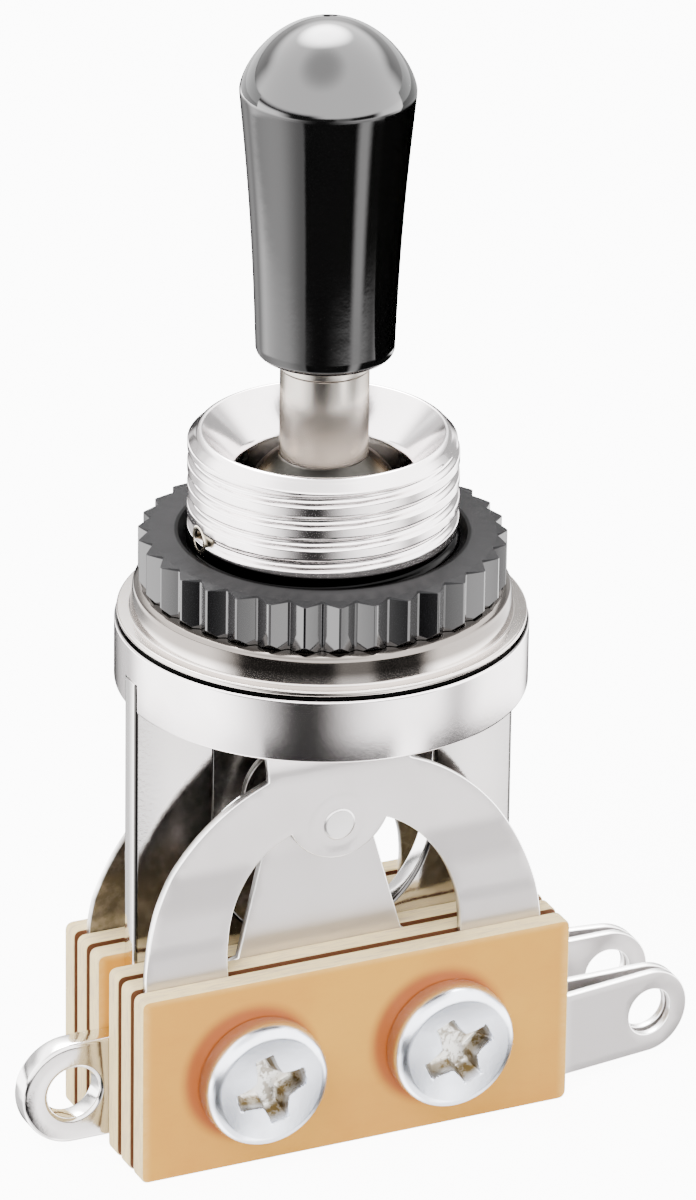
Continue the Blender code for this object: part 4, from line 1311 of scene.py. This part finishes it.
@dataclass
class CollarAndCup:
    """The collar disc under the nut and the drawn cup below it.

    Attributes:
        bore: Radius of the holes round the bushing.
        seat: Radius of the collar's top.
        cone: Radius at the foot of its cone.
        rise: Height of the collar above its brim.
        brim: Radius of the brim.
        brim_thickness: Its thickness.
        cup: Outer radius of the cup.
        wall: Thickness of its wall.
        height: Height of the cup.
        roof: Thickness of its roof.
        slot_half: Half the width of the slots for the legs.
        slot_top: Height of the slots' upper ends.
    """

    bore: float = 6.04
    seat: float = 8.1
    cone: float = 8.5
    rise: float = 1.3
    brim: float = 9.1
    brim_thickness: float = 0.28
    cup: float = 9.2
    wall: float = 0.75
    height: float = 3.1
    roof: float = 0.85
    slot_half: float = 0.65
    slot_top: float = -3.3

    def build(self) -> None:
        """Makes the collar disc and the cup."""
        base = -(self.rise + self.brim_thickness)
        chain = rounded_chain([
            (self.bore, base, 0.0), (self.brim - 0.04, base, 0.02), (self.brim, base + 0.06, 0.03),
            (self.brim, -self.rise, 0.1), (self.cone, -self.rise - 0.02, 0.08),
            (self.cone - 0.09, -0.42, 0.0), (self.cone - 0.13, -0.16, 0.1), (self.seat, 0.0, 0.12),
            (self.bore, 0.0, 0.0), (self.bore, base, 0.0),
        ])
        make_turned("collar", chain, Body.FRAME, COLLAR_NICKEL, ["collar_disc"], 144)
        top = base - SEAT
        bottom, ceiling, inner = top - self.height, top - self.roof, self.cup - self.wall
        chain = rounded_chain([
            (self.bore, ceiling, 0.0), (inner, ceiling, 0.2), (inner, bottom, 0.1),
            (self.cup, bottom, 0.12), (self.cup, top - 0.14, 0.14),
            (self.brim - 0.16, top - 0.14, 0.02), (self.brim - 0.16, top, 0.0),
            (self.bore, top, 0.0), (self.bore, ceiling, 0.0),
        ], 9)
        made = make_turned("drawn_cup", chain, Body.FRAME, CUP_NICKEL, ["frame_cup"], 180)
        self.cut_slots(made, bottom)

    def cut_slots(self, made: bpy.types.Object, bottom: float) -> None:
        """Cuts the two leg slots out of the skirt and keeps the result as a plain mesh."""
        box = bmesh.new()
        bmesh.ops.create_cube(box, size=1.0)
        size = Vector((2 * self.cup + 4.0, 2 * self.slot_half, self.slot_top - bottom + 1.0)) * MM
        bmesh.ops.scale(box, vec=size, verts=box.verts)
        middle = Vector((0.0, 0.0, (self.slot_top + bottom - 1.0) / 2)) * MM
        bmesh.ops.translate(box, vec=middle, verts=box.verts)
        cutter_mesh = bpy.data.meshes.new("slot_cutter")
        box.to_mesh(cutter_mesh)
        box.free()
        cutter = add_object("slot_cutter", cutter_mesh)
        modifier = made.modifiers.new("slots", "BOOLEAN")
        modifier.operation, modifier.solver, modifier.object = "DIFFERENCE", "EXACT", cutter
        graph = bpy.context.evaluated_depsgraph_get()
        result = bpy.data.meshes.new_from_object(made.evaluated_get(graph))
        made.modifiers.clear()
        made.data = result
        result.name = made.name
        bpy.data.objects.remove(cutter)


@dataclass
class Stack:
    """The frame plate and the two stacks of boards and leaves that it carries.

    Attributes:
        top: Height of the boards' upper edges.
        height: Height of the boards.
        width: Their length along X.
        board: Their thickness.
        corner: Radius of their corners.
        leaf: Thickness of the leaves.
        plate: Thickness of the frame plate.
        shift: How far the leaves and the screws sit to the left.
        sleeve: Radius of the holes for the sleeves.
        spacing: Distance between the screws.
        sink: How far the screws lie below the boards' middle.
        give: Heights of the arch leaves' give, handed on when they are built; nothing bends them.
        contact_height: Height of the contacts.
        lug_x: Where the solder lugs' rounded ends have their centre.
        lug_radius: Half of the solder lugs' width.
        solder_hole: Radius of the holes in the lugs.
        leaf_rounding: Radius of the leaves' edges.
        leaf_pitch: Spacing of the points inside the leaves' faces.
    """

    top: float = -16.95
    height: float = 9.05
    width: float = 21.0
    board: float = 0.95
    corner: float = 0.4
    leaf: float = 0.4
    plate: float = 1.2
    shift: float = -0.2
    sleeve: float = 1.98
    spacing: float = 9.2
    sink: float = 0.25
    give: Pair = (-9.2, -6.66)
    contact_height: float = -10.9
    lug_x: float = 15.5
    lug_radius: float = 2.0
    solder_hole: float = 1.12
    leaf_rounding: float = 0.06
    leaf_pitch: float = 0.4

    def __post_init__(self) -> None:
        """Works out the depths of the layers and the shared heights."""
        self.bottom = self.top - self.height
        self.screw_height = self.top - self.height / 2 - self.sink
        self.inner_board = self.plate / 2 + SEAT
        self.tongue_face = self.inner_board + self.board + SEAT
        self.middle_board = self.tongue_face + self.leaf + SEAT
        self.arch_face = self.middle_board + self.board + SEAT
        self.outer_board = self.arch_face + self.leaf + SEAT
        self.half_depth = self.outer_board + self.board
        self.lug_middle = self.bottom + 2.6
        self.lug_foot = self.lug_middle - self.lug_radius

    def screw_x(self, side: int) -> float:
        """Where the left (-1) or right (1) screw lies."""
        return self.shift + side * self.spacing / 2

    def screw_holes(self, radius: float) -> list[np.ndarray]:
        """Both screw holes as outlines."""
        return [circle((self.screw_x(side), self.screw_height), radius) for side in (-1, 1)]

    def leaf_holes(self) -> list[np.ndarray]:
        """The solder hole and the screw holes of a leaf."""
        solder = circle((self.lug_x, self.lug_middle), self.solder_hole)
        return [solder, *self.screw_holes(self.sleeve)]

    def build_frame_plate(self) -> None:
        """Makes the frame plate: two legs, a round-bottomed window and the ground lug."""
        edge, window, foot = 9.27, 5.36, self.bottom + 0.15
        middle = self.top - 0.6 + window
        lug_middle, lug_radius, reach = self.bottom + 3.1, 2.45, 12.15
        leg_top, inner_top, notch_floor = -3.32, -2.47, -3.39
        right = [(edge, foot, 0.2), (edge, leg_top, 0.0), (8.35, leg_top, 0.0), (8.35, inner_top, 0.0),
                 (7.0, inner_top, 0.0), (7.0, notch_floor, 0.0), (window, notch_floor, 0.0)]
        left = [(-x, z, r) for x, z, r in right[:0:-1]]
        bow = arc((0.0, middle), window, 0, -180, 64)
        lug = arc((-reach, lug_middle), lug_radius, 90, 270, 40)
        first = rounded_chain([(0.0, foot, 0.0), *right])[1:]
        over, under = lug_middle + lug_radius, lug_middle - lug_radius
        second = rounded_chain([*left, (-edge, over, 0.3), (-reach, over, 0.0)])
        third = rounded_chain([
            (-reach, under, 0.0), (-edge, under, 0.3), (-edge, foot, 0.0), (0.0, foot, 0.0),
        ])[1:-1]
        rim = np.concatenate([first, bow, second[:-1], lug, third])
        holes = [circle((-reach, lug_middle), 1.25), *self.screw_holes(self.sleeve)]
        outlines = [evened(rim, 0.6), *holes]
        sheet = Sheet(outlines, -self.plate / 2, self.plate / 2, Side.REAR, 0.2)
        sheet.build("frame_sheet", FRAME_NICKEL, ["frame_plate"])

    def build_boards(self, side: Side) -> None:
        """Makes the three insulating boards of one stack."""
        half, corner = self.width / 2, self.corner
        corners = [(half, self.bottom, corner), (half, self.top, corner), (-half, self.top, corner),
                   (-half, self.bottom, corner)]
        rim = evened(rounded_outline(corners, 10), 0.8)
        word = side.name.lower()
        for place, face, hole in (
            ("inner", self.inner_board, self.sleeve),
            ("middle", self.middle_board, self.sleeve),
            ("outer", self.outer_board, 1.49),
        ):
            sheet = Sheet([rim, *self.screw_holes(hole)], face, face + self.board, side, 0.07)
            sheet.build(f"{word}_{place}_board", BOARD, [f"{word}_{place}_plate"])

    def lug(self) -> np.ndarray:
        """Rim of a leaf's solder lug from its lower root round its end to its upper root."""
        return arc((self.lug_x, self.lug_middle), self.lug_radius, -90, 90, 40)

    def arch_outlines(self) -> list[np.ndarray]:
        """Rim, window and holes of the arch leaf."""
        radius, centre, half_tab, tab_top = 9.7, self.top - 0.35, 3.45, -4.9
        tab_foot = centre + math.sqrt(radius ** 2 - half_tab ** 2)
        start = math.degrees(math.asin((tab_foot - centre) / radius))
        right = arc((self.shift, centre), radius, 0, start, 60)
        left = arc((self.shift, centre), radius, 180 - start, 180, 60)
        tab = np.array([(self.shift + half_tab, tab_top), (self.shift - half_tab, tab_top)])
        root = np.array([(self.shift - radius, self.lug_foot)])
        shoulder = np.array([(self.shift + radius, self.lug_middle + self.lug_radius)])
        rim = np.concatenate([root, self.lug(), shoulder, right, tab, left])
        inner, middle = radius - 4.0, centre + 1.1
        lobe, lobe_centre = 2.55, self.contact_height + 0.95
        difference = lobe ** 2 - inner ** 2 + middle ** 2 - lobe_centre ** 2
        cusp = difference / (2 * (middle - lobe_centre))
        cusp_x = math.sqrt(inner ** 2 - (cusp - middle) ** 2)
        rise = math.degrees(math.atan2(cusp - middle, cusp_x))
        dip = math.degrees(math.atan2(cusp - lobe_centre, cusp_x))
        foot = self.top - self.corner
        window = np.concatenate([
            np.array([(self.shift - inner, foot), (self.shift + inner, foot)]),
            arc((self.shift, middle), inner, 0, rise, 40),
            arc((self.shift, lobe_centre), lobe, dip, -180 - dip, 48)[1:-1],
            arc((self.shift, middle), inner, 180 - rise, 180, 40),
        ])
        return [evened(rim, 0.5), evened(window, 0.5), *self.leaf_holes()]

    def arch_bend(self, x: np.ndarray, z: np.ndarray) -> np.ndarray:
        """How far the arch leaf leans in: a soft S above the boards, a step at the tab and a flare."""
        top = self.top
        heights = np.array([-30.0, top, top + 1.6, top + 3.2, -12.1, -7.9, -6.9, -5.6, -4.9])
        inward = np.array([0.0, 0.0, 0.156, 0.507, 0.78, 0.78, 1.14, 1.14, 0.84])
        lean = np.interp(z, heights, inward)
        lug = np.clip((x - 10.9) / 6.6, 0.0, 1.0) * (self.board - 0.04)
        return lean + lug

    def tongue_outlines(self) -> list[np.ndarray]:
        """Rim and holes of the tongue leaf."""
        shift, half, tip = -0.8, 4.0, 2.3
        strip = self.top - 1.25
        left = -self.width / 2 + self.corner + 1.0
        taper = math.degrees(math.atan2(half - tip, self.contact_height - self.top))
        head = arc((shift, self.contact_height), tip, taper * 0.5, 180 - taper * 0.5, 48)
        rim = np.concatenate([
            np.array([(left, self.lug_foot)]), self.lug(),
            np.array([(self.width / 2 - self.corner, self.lug_middle + self.lug_radius),
                      (shift + half + 1.5, strip), (shift + half, self.top)]),
            head,
            np.array([(shift - half, self.top), (left, strip)]),
        ])
        return [evened(rim, 0.5), *self.leaf_holes()]

    def tongue_bend(self, x: np.ndarray, z: np.ndarray) -> np.ndarray:
        """How far the tongue leaf leans in, on a straight slope up to its contact."""
        return np.interp(z, [self.top, -12.1], [0.0, 0.3])

    def build_leaves(self, side: Side) -> None:
        """Makes the arch leaf, the tongue leaf and their contacts of one stack."""
        word = side.name.lower()
        for kind, outlines, face, inward, give in (
            ("arch", self.arch_outlines(), self.arch_face, self.arch_bend, self.give),
            ("tongue", self.tongue_outlines(), self.tongue_face, self.tongue_bend, None),
        ):
            far = face + self.leaf
            sheet = Sheet(outlines, face, far, side, self.leaf_rounding, inward, self.leaf_pitch)
            sheet.build(f"{word}_{kind}", LEAF, [f"{word}_{kind}_leaf"], 60.0, give)
        arch_outer = self.arch_face + self.leaf - 0.78
        tongue_inner = self.tongue_face - 0.3
        gap = arch_outer - self.leaf - (tongue_inner + self.leaf)
        self.build_contact("arch", side, arch_outer, gap / 2, True)
        self.build_contact("tongue", side, tongue_inner, gap / 2, False)

    def build_contact(self, kind: str, side: Side, face: float, rise: float, outer: bool) -> None:
        """Makes one contact rivet: a small head behind the leaf and the wide contact before it."""
        name = f"{side.name.lower()}_{kind}"
        chain = rounded_chain([
            (0.0, -0.07, 0.0), (0.68, -0.07, 0.05), (0.76, -0.02, 0.03), (0.76, 0.0, 0.0),
            (0.55, 0.0, 0.0), (0.55, self.leaf, 0.0), (1.05, self.leaf, 0.0),
            (1.05, self.leaf + rise - SEAT, 0.08), (0.0, self.leaf + rise - SEAT, 0.0),
        ])
        towards_rear = (side is Side.FRONT) == outer
        centre = (self.shift, side.value * face, self.contact_height)
        axis = Axis.REAR if towards_rear else Axis.FRONT
        make_turned(f"{name}_rivet", chain, Body.FRAME, SILVER, [f"{name}_contact"], 48, axis, centre)

    def build(self) -> None:
        """Makes the frame plate, the boards, the leaves and the contacts."""
        self.build_frame_plate()
        for side in Side:
            self.build_boards(side)
            self.build_leaves(side)


@dataclass
class Fasteners:
    """The two screws with their nuts and insulating sleeves.

    Attributes:
        stack: The stack that they clamp.
        shank: Radius of the screws.
        head: Radius of their heads.
        rise: Height of their heads.
        crown: How far the heads are domed.
        slot_length: Half the length of the recess's arms.
        slot_width: Half the width of its arms.
        slot_depth: Depth of the recess.
        turns: Turn of the left and the right recess in degrees.
        roll: Width of the rounding at the heads' rim.
        roll_angle: How steep that rounding starts, in degrees.
        roll_drop: Its height.
        nut_flat: Radius to the nuts' flats.
        nut_height: Height of the nuts.
        bore: Radius of the holes of the nuts and the sleeves.
        sleeve: Outer radius of the sleeves.
        sleeve_half: Half of the sleeves' length.
    """

    stack: Stack
    shank: float = 1.45
    head: float = 2.95
    rise: float = 1.55
    crown: float = 0.32
    slot_length: float = 1.7
    slot_width: float = 0.44
    slot_depth: float = 1.05
    turns: Pair = (14.0, 26.0)
    roll: float = 0.5
    roll_angle: float = 78.0
    roll_drop: float = 0.62
    nut_flat: float = 2.75
    nut_height: float = 2.32
    bore: float = 1.49
    sleeve: float = 1.94
    sleeve_half: float = 3.3

    def recess(self, x: np.ndarray, y: np.ndarray) -> np.ndarray:
        """Depth of the cross recess: for each arm the lesser of two slopes, cut off at the floor."""
        def arm(along: np.ndarray, across: np.ndarray) -> np.ndarray:
            """Depth of one arm from the places along and across it."""
            share = np.abs(along) / self.slot_length
            width = self.slot_width * (1.0 + 1.3 * np.clip(1.0 - share, 0.0, 1.0) ** 2)
            by_length = self.slot_depth * (1.0 - share) / 0.3
            by_width = self.slot_depth * (1.0 - np.abs(across) / width) / 0.4
            return np.clip(np.minimum(by_length, by_width), 0.0, self.slot_depth)
        return np.maximum(arm(x, y), arm(y, x))

    def head_surface(self, turn: float) -> tuple[np.ndarray, np.ndarray]:
        """Points of a head and shank, and how deep each lies in the recess.

        The crown falls by three quarters of its height times the square of radius over head
        radius, and rolls over the rim as part of an ellipse; the recess is taken from its height.
        """
        columns = 160
        angle = np.linspace(0.0, TAU, columns, endpoint=False)[None]
        flat, steepest = self.head - self.roll, math.radians(self.roll_angle)
        radius = np.linspace(0.0, flat, 110)[:, None]
        dome = self.rise - self.crown * 0.75 * (radius / self.head) ** 2
        x, y = radius * np.cos(angle), radius * np.sin(angle)
        cosine, sine = math.cos(math.radians(turn)), math.sin(math.radians(turn))
        turned_x, turned_y = x * cosine + y * sine, -x * sine + y * cosine
        depth = self.recess(turned_x, turned_y)
        top = np.stack([x, y, dome - depth], -1)
        edge_height = self.rise - self.crown * 0.75 * (flat / self.head) ** 2
        bend = np.radians(np.linspace(self.roll_angle, 0.0, 14))[1:, None]
        rim_radius = self.head - self.roll * (1.0 - np.cos(bend)) / (1.0 - math.cos(steepest))
        rim_height = edge_height - self.roll_drop * (1.0 - np.sin(bend) / math.sin(steepest))
        rim = round_axis(rim_radius, angle, rim_height)
        tail = -(2 * self.stack.half_depth + 3.0)
        below = turned(rounded_chain([
            (self.head, 0.4, 0.0), (self.head, SEAT, 0.05), (self.shank, SEAT, 0.0),
            (self.shank, tail, 0.3), (0.0, tail, 0.0),
        ]), columns)
        points = np.concatenate([top, rim, below])
        marks = np.concatenate([depth / self.slot_depth, np.zeros((len(rim) + len(below), columns))])
        return points, marks

    def build(self) -> None:
        """Makes the screws, nuts and sleeves."""
        seat = self.stack.half_depth
        for side, word, turn in ((-1, "left", self.turns[0]), (1, "right", self.turns[1])):
            x, z = self.stack.screw_x(side), self.stack.screw_height
            points, depths = self.head_surface(turn)
            placed = laid(points, Axis.FRONT, (x, -seat, z))
            marks = {"recess": depths}
            make_grid(f"{word}_pan_screw", placed, Body.FRAME, ZINC, [f"{word}_screw"], marks, 32.0)
            self.build_nut(word, x, z, seat)
            radii = [self.bore, self.sleeve, self.sleeve, self.bore, self.bore]
            tube = np.stack([radii, self.sleeve_half * np.array([-1.0, -1.0, 1.0, 1.0, -1.0])], -1)
            make_turned(
                f"{word}_bush", tube, Body.FRAME, NATURAL, [f"{word}_sleeve"], 48,
                Axis.REAR, (x, 0.0, z),
            )

    def build_nut(self, word: str, x: float, z: float, seat: float) -> None:
        """Makes a hexagon nut: radius to the flats over cosine of the angle, trimmed by a cone."""
        angle = np.linspace(0.0, TAU, 120, endpoint=False)
        sixth = (angle + math.pi / 6) % (math.pi / 3) - math.pi / 6
        bore, flat, top = self.bore, self.nut_flat, self.nut_height
        section = rounded_chain([
            (bore, SEAT, 0.0), (3.0, SEAT, 0.0), (3.2, 0.1, 0.0), (3.2, 2.05, 0.0), (flat, top, 0.0),
            (1.75, top, 0.05), (bore, 2.1, 0.0), (bore, SEAT, 0.0),
        ])
        radius = np.minimum(section[:, :1], (flat / np.cos(sixth))[None])
        points = round_axis(radius, angle, section[:, 1:])
        placed = laid(points, Axis.REAR, (x, seat, z))
        marks = {"recess": np.zeros(points.shape[:2])}
        make_grid(f"{word}_hex_nut", placed, Body.FRAME, ZINC, [f"{word}_screw_nut"], marks, 28.0)


# ---- studio


@dataclass(frozen=True)
class Card:
    """A grey card beside the switch that only reflections from above see; from below it is clear.

    Attributes:
        name: Its name.
        span: First and last angle from the camera's azimuth, in degrees.
        section: Distance from the switch's axis and height of each bend.
        glow: How bright it looks.
    """

    name: str
    span: Pair
    section: tuple[Pair, ...]
    glow: float

    def build(self, azimuth: float) -> None:
        """Makes the card: its section carried round the axis, (r sin a, -r cos a, h).

        Args:
            azimuth: The camera's azimuth in degrees, which the span counts from.
        """
        turn = np.radians(azimuth + np.linspace(*self.span, 24))[None]
        reach, height = np.array(self.section).T[:, :, None]
        points = np.stack([reach * np.sin(turn), -reach * np.cos(turn), height + 0.0 * turn], -1)
        mesh = bpy.data.meshes.new(self.name)
        faces = grid_quads(len(self.section), turn.size, ring=False)[:, ::-1]
        mesh.from_pydata((points.reshape(-1, 3) * MM).tolist(), [], faces.tolist())
        mesh.materials.append(self.material())
        card = add_object(self.name, mesh)
        for ray in ("camera", "diffuse", "transmission", "volume_scatter", "shadow"):
            setattr(card, f"visible_{ray}", False)

    def material(self) -> bpy.types.Material:
        """Makes a material that glows evenly on its upper side and is clear on its lower side."""
        made, shader = new_material(self.name, {
            "Base Color": BLACK, "Specular IOR Level": 0.0, "Emission Color": WHITE,
            "Emission Strength": self.glow,
        })
        tree = made.node_tree
        painter = Painter(tree)
        below = painter.node("ShaderNodeNewGeometry", output="Backfacing")
        clear = painter.node("ShaderNodeBsdfTransparent")
        face = Wire(tree, shader.outputs[0])
        mixed = painter.node("ShaderNodeMixShader", None, {0: below, 1: face, 2: clear})
        feed(tree.nodes["Material Output"], {"Surface": mixed})
        return made


@dataclass(frozen=True)
class Lobe:
    """A round patch of the surround, with its angles in degrees.

    Attributes:
        around: Its angle from the camera's azimuth.
        rise: Its elevation.
        reach: Where it has faded away, from its middle.
        core: How far it stays whole, from its middle.
        strength: How much it adds or takes away.
    """

    around: float
    rise: float
    reach: float
    core: float
    strength: float

    def glow(self, painter: Painter, direction: Wire, azimuth: float) -> Wire:
        """Falls from the strength within the core to 0 beyond the reach, by the directions' cosine."""
        turn, lift = math.radians(azimuth + self.around), math.radians(self.rise)
        place = (math.sin(turn) * math.cos(lift), -math.cos(turn) * math.cos(lift), math.sin(lift))
        settings = {"operation": "DOT_PRODUCT"}
        near = painter.node("ShaderNodeVectorMath", settings, {0: direction, 1: place}, "Value")
        edge, whole = (math.cos(math.radians(angle)) for angle in (self.reach, self.core))
        return near.ramp(edge, whole) * self.strength


@dataclass
class Studio:
    """Pale floor, soft surrounding light with dark flags for the reflections, and the camera.

    Attributes:
        azimuth: The camera's azimuth in degrees.
        elevation: Its height above the horizon in degrees.
        distance: Its distance from the aim point, in millimetres.
        aim: How far the aim point lies to the camera's right and above the origin.
        lens: Focal length for a picture 36 mm high.
        roll: Turn of the camera about its view, in degrees.
        floor: Height of the floor.
        plain_light: Even light on surfaces that aren't glossy.
        paper_glow: How bright the floor's paper is by itself to the camera.
        dimmed: Where the broad light above is weaker.
        lights: The round lights behind the switch.
        cards: The grey cards that the tip and the plated parts mirror.
    """

    azimuth: float = -25.052
    elevation: float = 24.581
    distance: float = 392.267
    aim: Pair = (1.157, -1.059)
    lens: float = 266.01
    roll: float = 0.807
    floor: float = -26.02
    plain_light: float = 2.0
    paper_glow: float = 9.5
    dimmed: Lobe = Lobe(-20.0, 70.0, 32.0, 1.0, 0.5)
    lights: tuple[Lobe, ...] = (Lobe(187.0, 60.0, 27.0, 6.0, 40.0), Lobe(180.0, 24.6, 20.0, 6.0, 0.8))
    cards: tuple[Card, ...] = (
        Card("card_right", (76.0, 176.0), ((6.7, 8.8), (34.0, 9.8)), 0.0),
        Card("card_right_high", (104.0, 178.0), ((34.0, 9.8), (40.0, 20.5)), 0.7),
        Card("card_right_top", (104.0, 178.0), ((40.0, 20.5), (64.0, 33.0)), 1.8),
        Card("card_left_high", (-178.0, -96.0), ((32.0, 15.8), (40.0, 20.5)), 1.5),
        Card("card_left_top", (-178.0, -96.0), ((40.0, 20.5), (64.0, 33.0)), 2.4),
    )

    def build_floor(self) -> None:
        """Makes the floor, which plain reflections look through to the studio's surround."""
        mesh = bpy.data.meshes.new("floor")
        half, height = 3.0, self.floor * MM
        signs = ((-1, -1), (1, -1), (1, 1), (-1, 1))
        mesh.from_pydata([(x * half, y * half, height) for x, y in signs], [], [(0, 1, 2, 3)])
        material, shader = new_material("floor_paper", {
            "Base Color": (0.9, 0.9, 0.9, 1.0), "Roughness": 0.9, "Specular IOR Level": 0.0,
            "Emission Color": WHITE,
        })
        seen = Painter(material.node_tree).node("ShaderNodeLightPath", output="Is Camera Ray")
        feed(shader, {"Emission Strength": seen * self.paper_glow})
        mesh.materials.append(material)
        floor = add_object("floor", mesh)
        floor.visible_glossy = False

    def build_surround(self) -> None:
        """Makes the light from all round: even on plain surfaces, panelled in reflections."""
        world = bpy.data.worlds.new("surround")
        bpy.context.scene.world = world
        world.use_nodes = True
        world.cycles.sampling_method = "NONE"
        tree = world.node_tree
        painter = Painter(tree)
        direction = painter.node("ShaderNodeTexCoord", output="Generated")
        x, y, z = painter.parts(direction)
        turn = painter.node("ShaderNodeMath", {"operation": "ARCTAN2"}, {0: x, 1: y * -1.0})
        around = turn * (180.0 / math.pi) - self.azimuth
        around = painter.node("ShaderNodeMath", {"operation": "WRAP"}, {0: around, 1: -180.0, 2: 180.0})
        rise = painter.node("ShaderNodeMath", {"operation": "ARCSINE"}, {0: z}) * (180.0 / math.pi)
        sky = self.sky_glow(around, rise) * (1.0 - self.dimmed.glow(painter, direction, self.azimuth))
        light = self.floor_glow(around, rise) + self.ring_glow(around, rise) + sky
        for lobe in self.lights:
            light = light + lobe.glow(painter, direction, self.azimuth)
        plain = painter.node("ShaderNodeLightPath", output="Is Diffuse Ray")
        strength = plain * self.plain_light + (1.0 - plain) * light
        feed(tree.nodes["Background"], {"Strength": strength, "Color": (1.0, 0.985, 0.985, 1.0)})

    def floor_glow(self, around: Wire, rise: Wire) -> Wire:
        """What leaning sides mirror low down: a panel on the left and a narrow strip on the right."""
        low = rise.ramp(-25.8, -28.0)
        panel = around.ramp(-30.0, -35.0) * 0.42 + around.ramp(-36.0, -72.0) * 0.58
        panel = panel * (1.0 - around.ramp(-72.0, -135.0) * 0.75) * around.ramp(-170.0, -145.0)
        strip = around.band(50.0, 55.0, 12.0)
        deep = rise.ramp(-40.0, -52.0) * 3.5
        return low * (panel * 5.0 + strip * 5.5 + 0.04) + deep

    def ring_glow(self, around: Wire, rise: Wire) -> Wire:
        """What upright sides mirror: bright panels on both sides of a dark gap before the camera."""
        level = rise.ramp(-28.0, -25.8) * rise.ramp(-15.0, -19.0)
        left = around.ramp(-8.0, -66.0).power(1.5) * 6.5
        left = left * (around.ramp(-134.0, -110.0) * 0.8 + around.ramp(-168.0, -138.0) * 0.2)
        right = around.ramp(-4.0, 48.0) * around.ramp(86.0, 62.0) * 4.4
        far = around.ramp(70.0, 112.0) * around.ramp(168.0, 146.0) * 6.0
        upright = left + right + far + 0.05
        belt = rise.ramp(-19.0, -15.0) * rise.ramp(4.0, -2.0)
        belt_left = around.ramp(-44.0, -72.0) * around.ramp(-162.0, -138.0) * 9.0
        belt_right = around.band(14.0, 26.0, 9.0)
        belt_right = belt_right + around.ramp(58.0, 76.0) * around.ramp(166.0, 144.0) * 8.0
        return level * upright + belt * (belt_left + belt_right + 0.08)

    def sky_glow(self, around: Wire, rise: Wire) -> Wire:
        """What upward faces mirror: a broad light that is dim low down behind the switch."""
        left, right = rise.ramp(3.0, 11.0), rise.ramp(-2.0, 4.0)
        side = around.ramp(-25.0, 0.0)
        above = left * (1.0 - side) + right * side
        behind = around.absolute().ramp(100.0, 125.0) * rise.ramp(36.0, 20.0)
        return above * (7.0 - behind * 5.8)

    def build_camera(self) -> None:
        """Makes the camera at the photograph's angle."""
        a, e, r = (math.radians(value) for value in (self.azimuth, self.elevation, self.roll))
        back = Vector((math.sin(a) * math.cos(e), -math.cos(a) * math.cos(e), math.sin(e)))
        right = Vector((math.cos(a), math.sin(a), 0.0))
        up = back.cross(right)
        aim = right * self.aim[0] + Vector((0.0, 0.0, self.aim[1]))
        x_axis = right * math.cos(r) + up * math.sin(r)
        y_axis = up * math.cos(r) - right * math.sin(r)
        data = bpy.data.cameras.new("camera")
        data.sensor_width = 36.0
        data.lens = self.lens
        data.clip_start, data.clip_end = 0.01, 20.0
        camera = add_object("camera", data)
        matrix = Matrix((x_axis, y_axis, back)).transposed().to_4x4()
        matrix.translation = (aim + back * self.distance) * MM
        camera.matrix_world = matrix
        bpy.context.scene.camera = camera

    def build_lamp(self) -> None:
        """Adds one broad soft lamp above on the left, for gentle shading."""
        data = bpy.data.lights.new("key", "AREA")
        data.shape, data.size, data.size_y = "RECTANGLE", 0.35, 0.35
        data.energy = 4.5
        lamp = add_object("key", data)
        lamp.visible_glossy = False
        place = Vector((-0.35, -0.25, 0.5))
        lamp.location = place
        lamp.rotation_euler = place.to_track_quat("Z", "Y").to_euler()

    def build(self) -> None:
        """Makes the whole studio."""
        self.build_floor()
        self.build_surround()
        self.build_lamp()
        for card in self.cards:
            card.build(self.azimuth)
        self.build_camera()


def main() -> None:
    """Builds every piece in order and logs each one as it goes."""
    logging.basicConfig(level=logging.INFO, format="%(message)s")
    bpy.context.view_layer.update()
    stack = Stack()
    parts = (
        Grip(), LeverArm(), ThreadedBushing(), RingNut(), CollarAndCup(), stack, Fasteners(stack),
    )
    for part in parts:
        LOG.info("building %s", type(part).__name__)
        part.build()
    Studio().build()


if __name__ == "__main__":
    main()
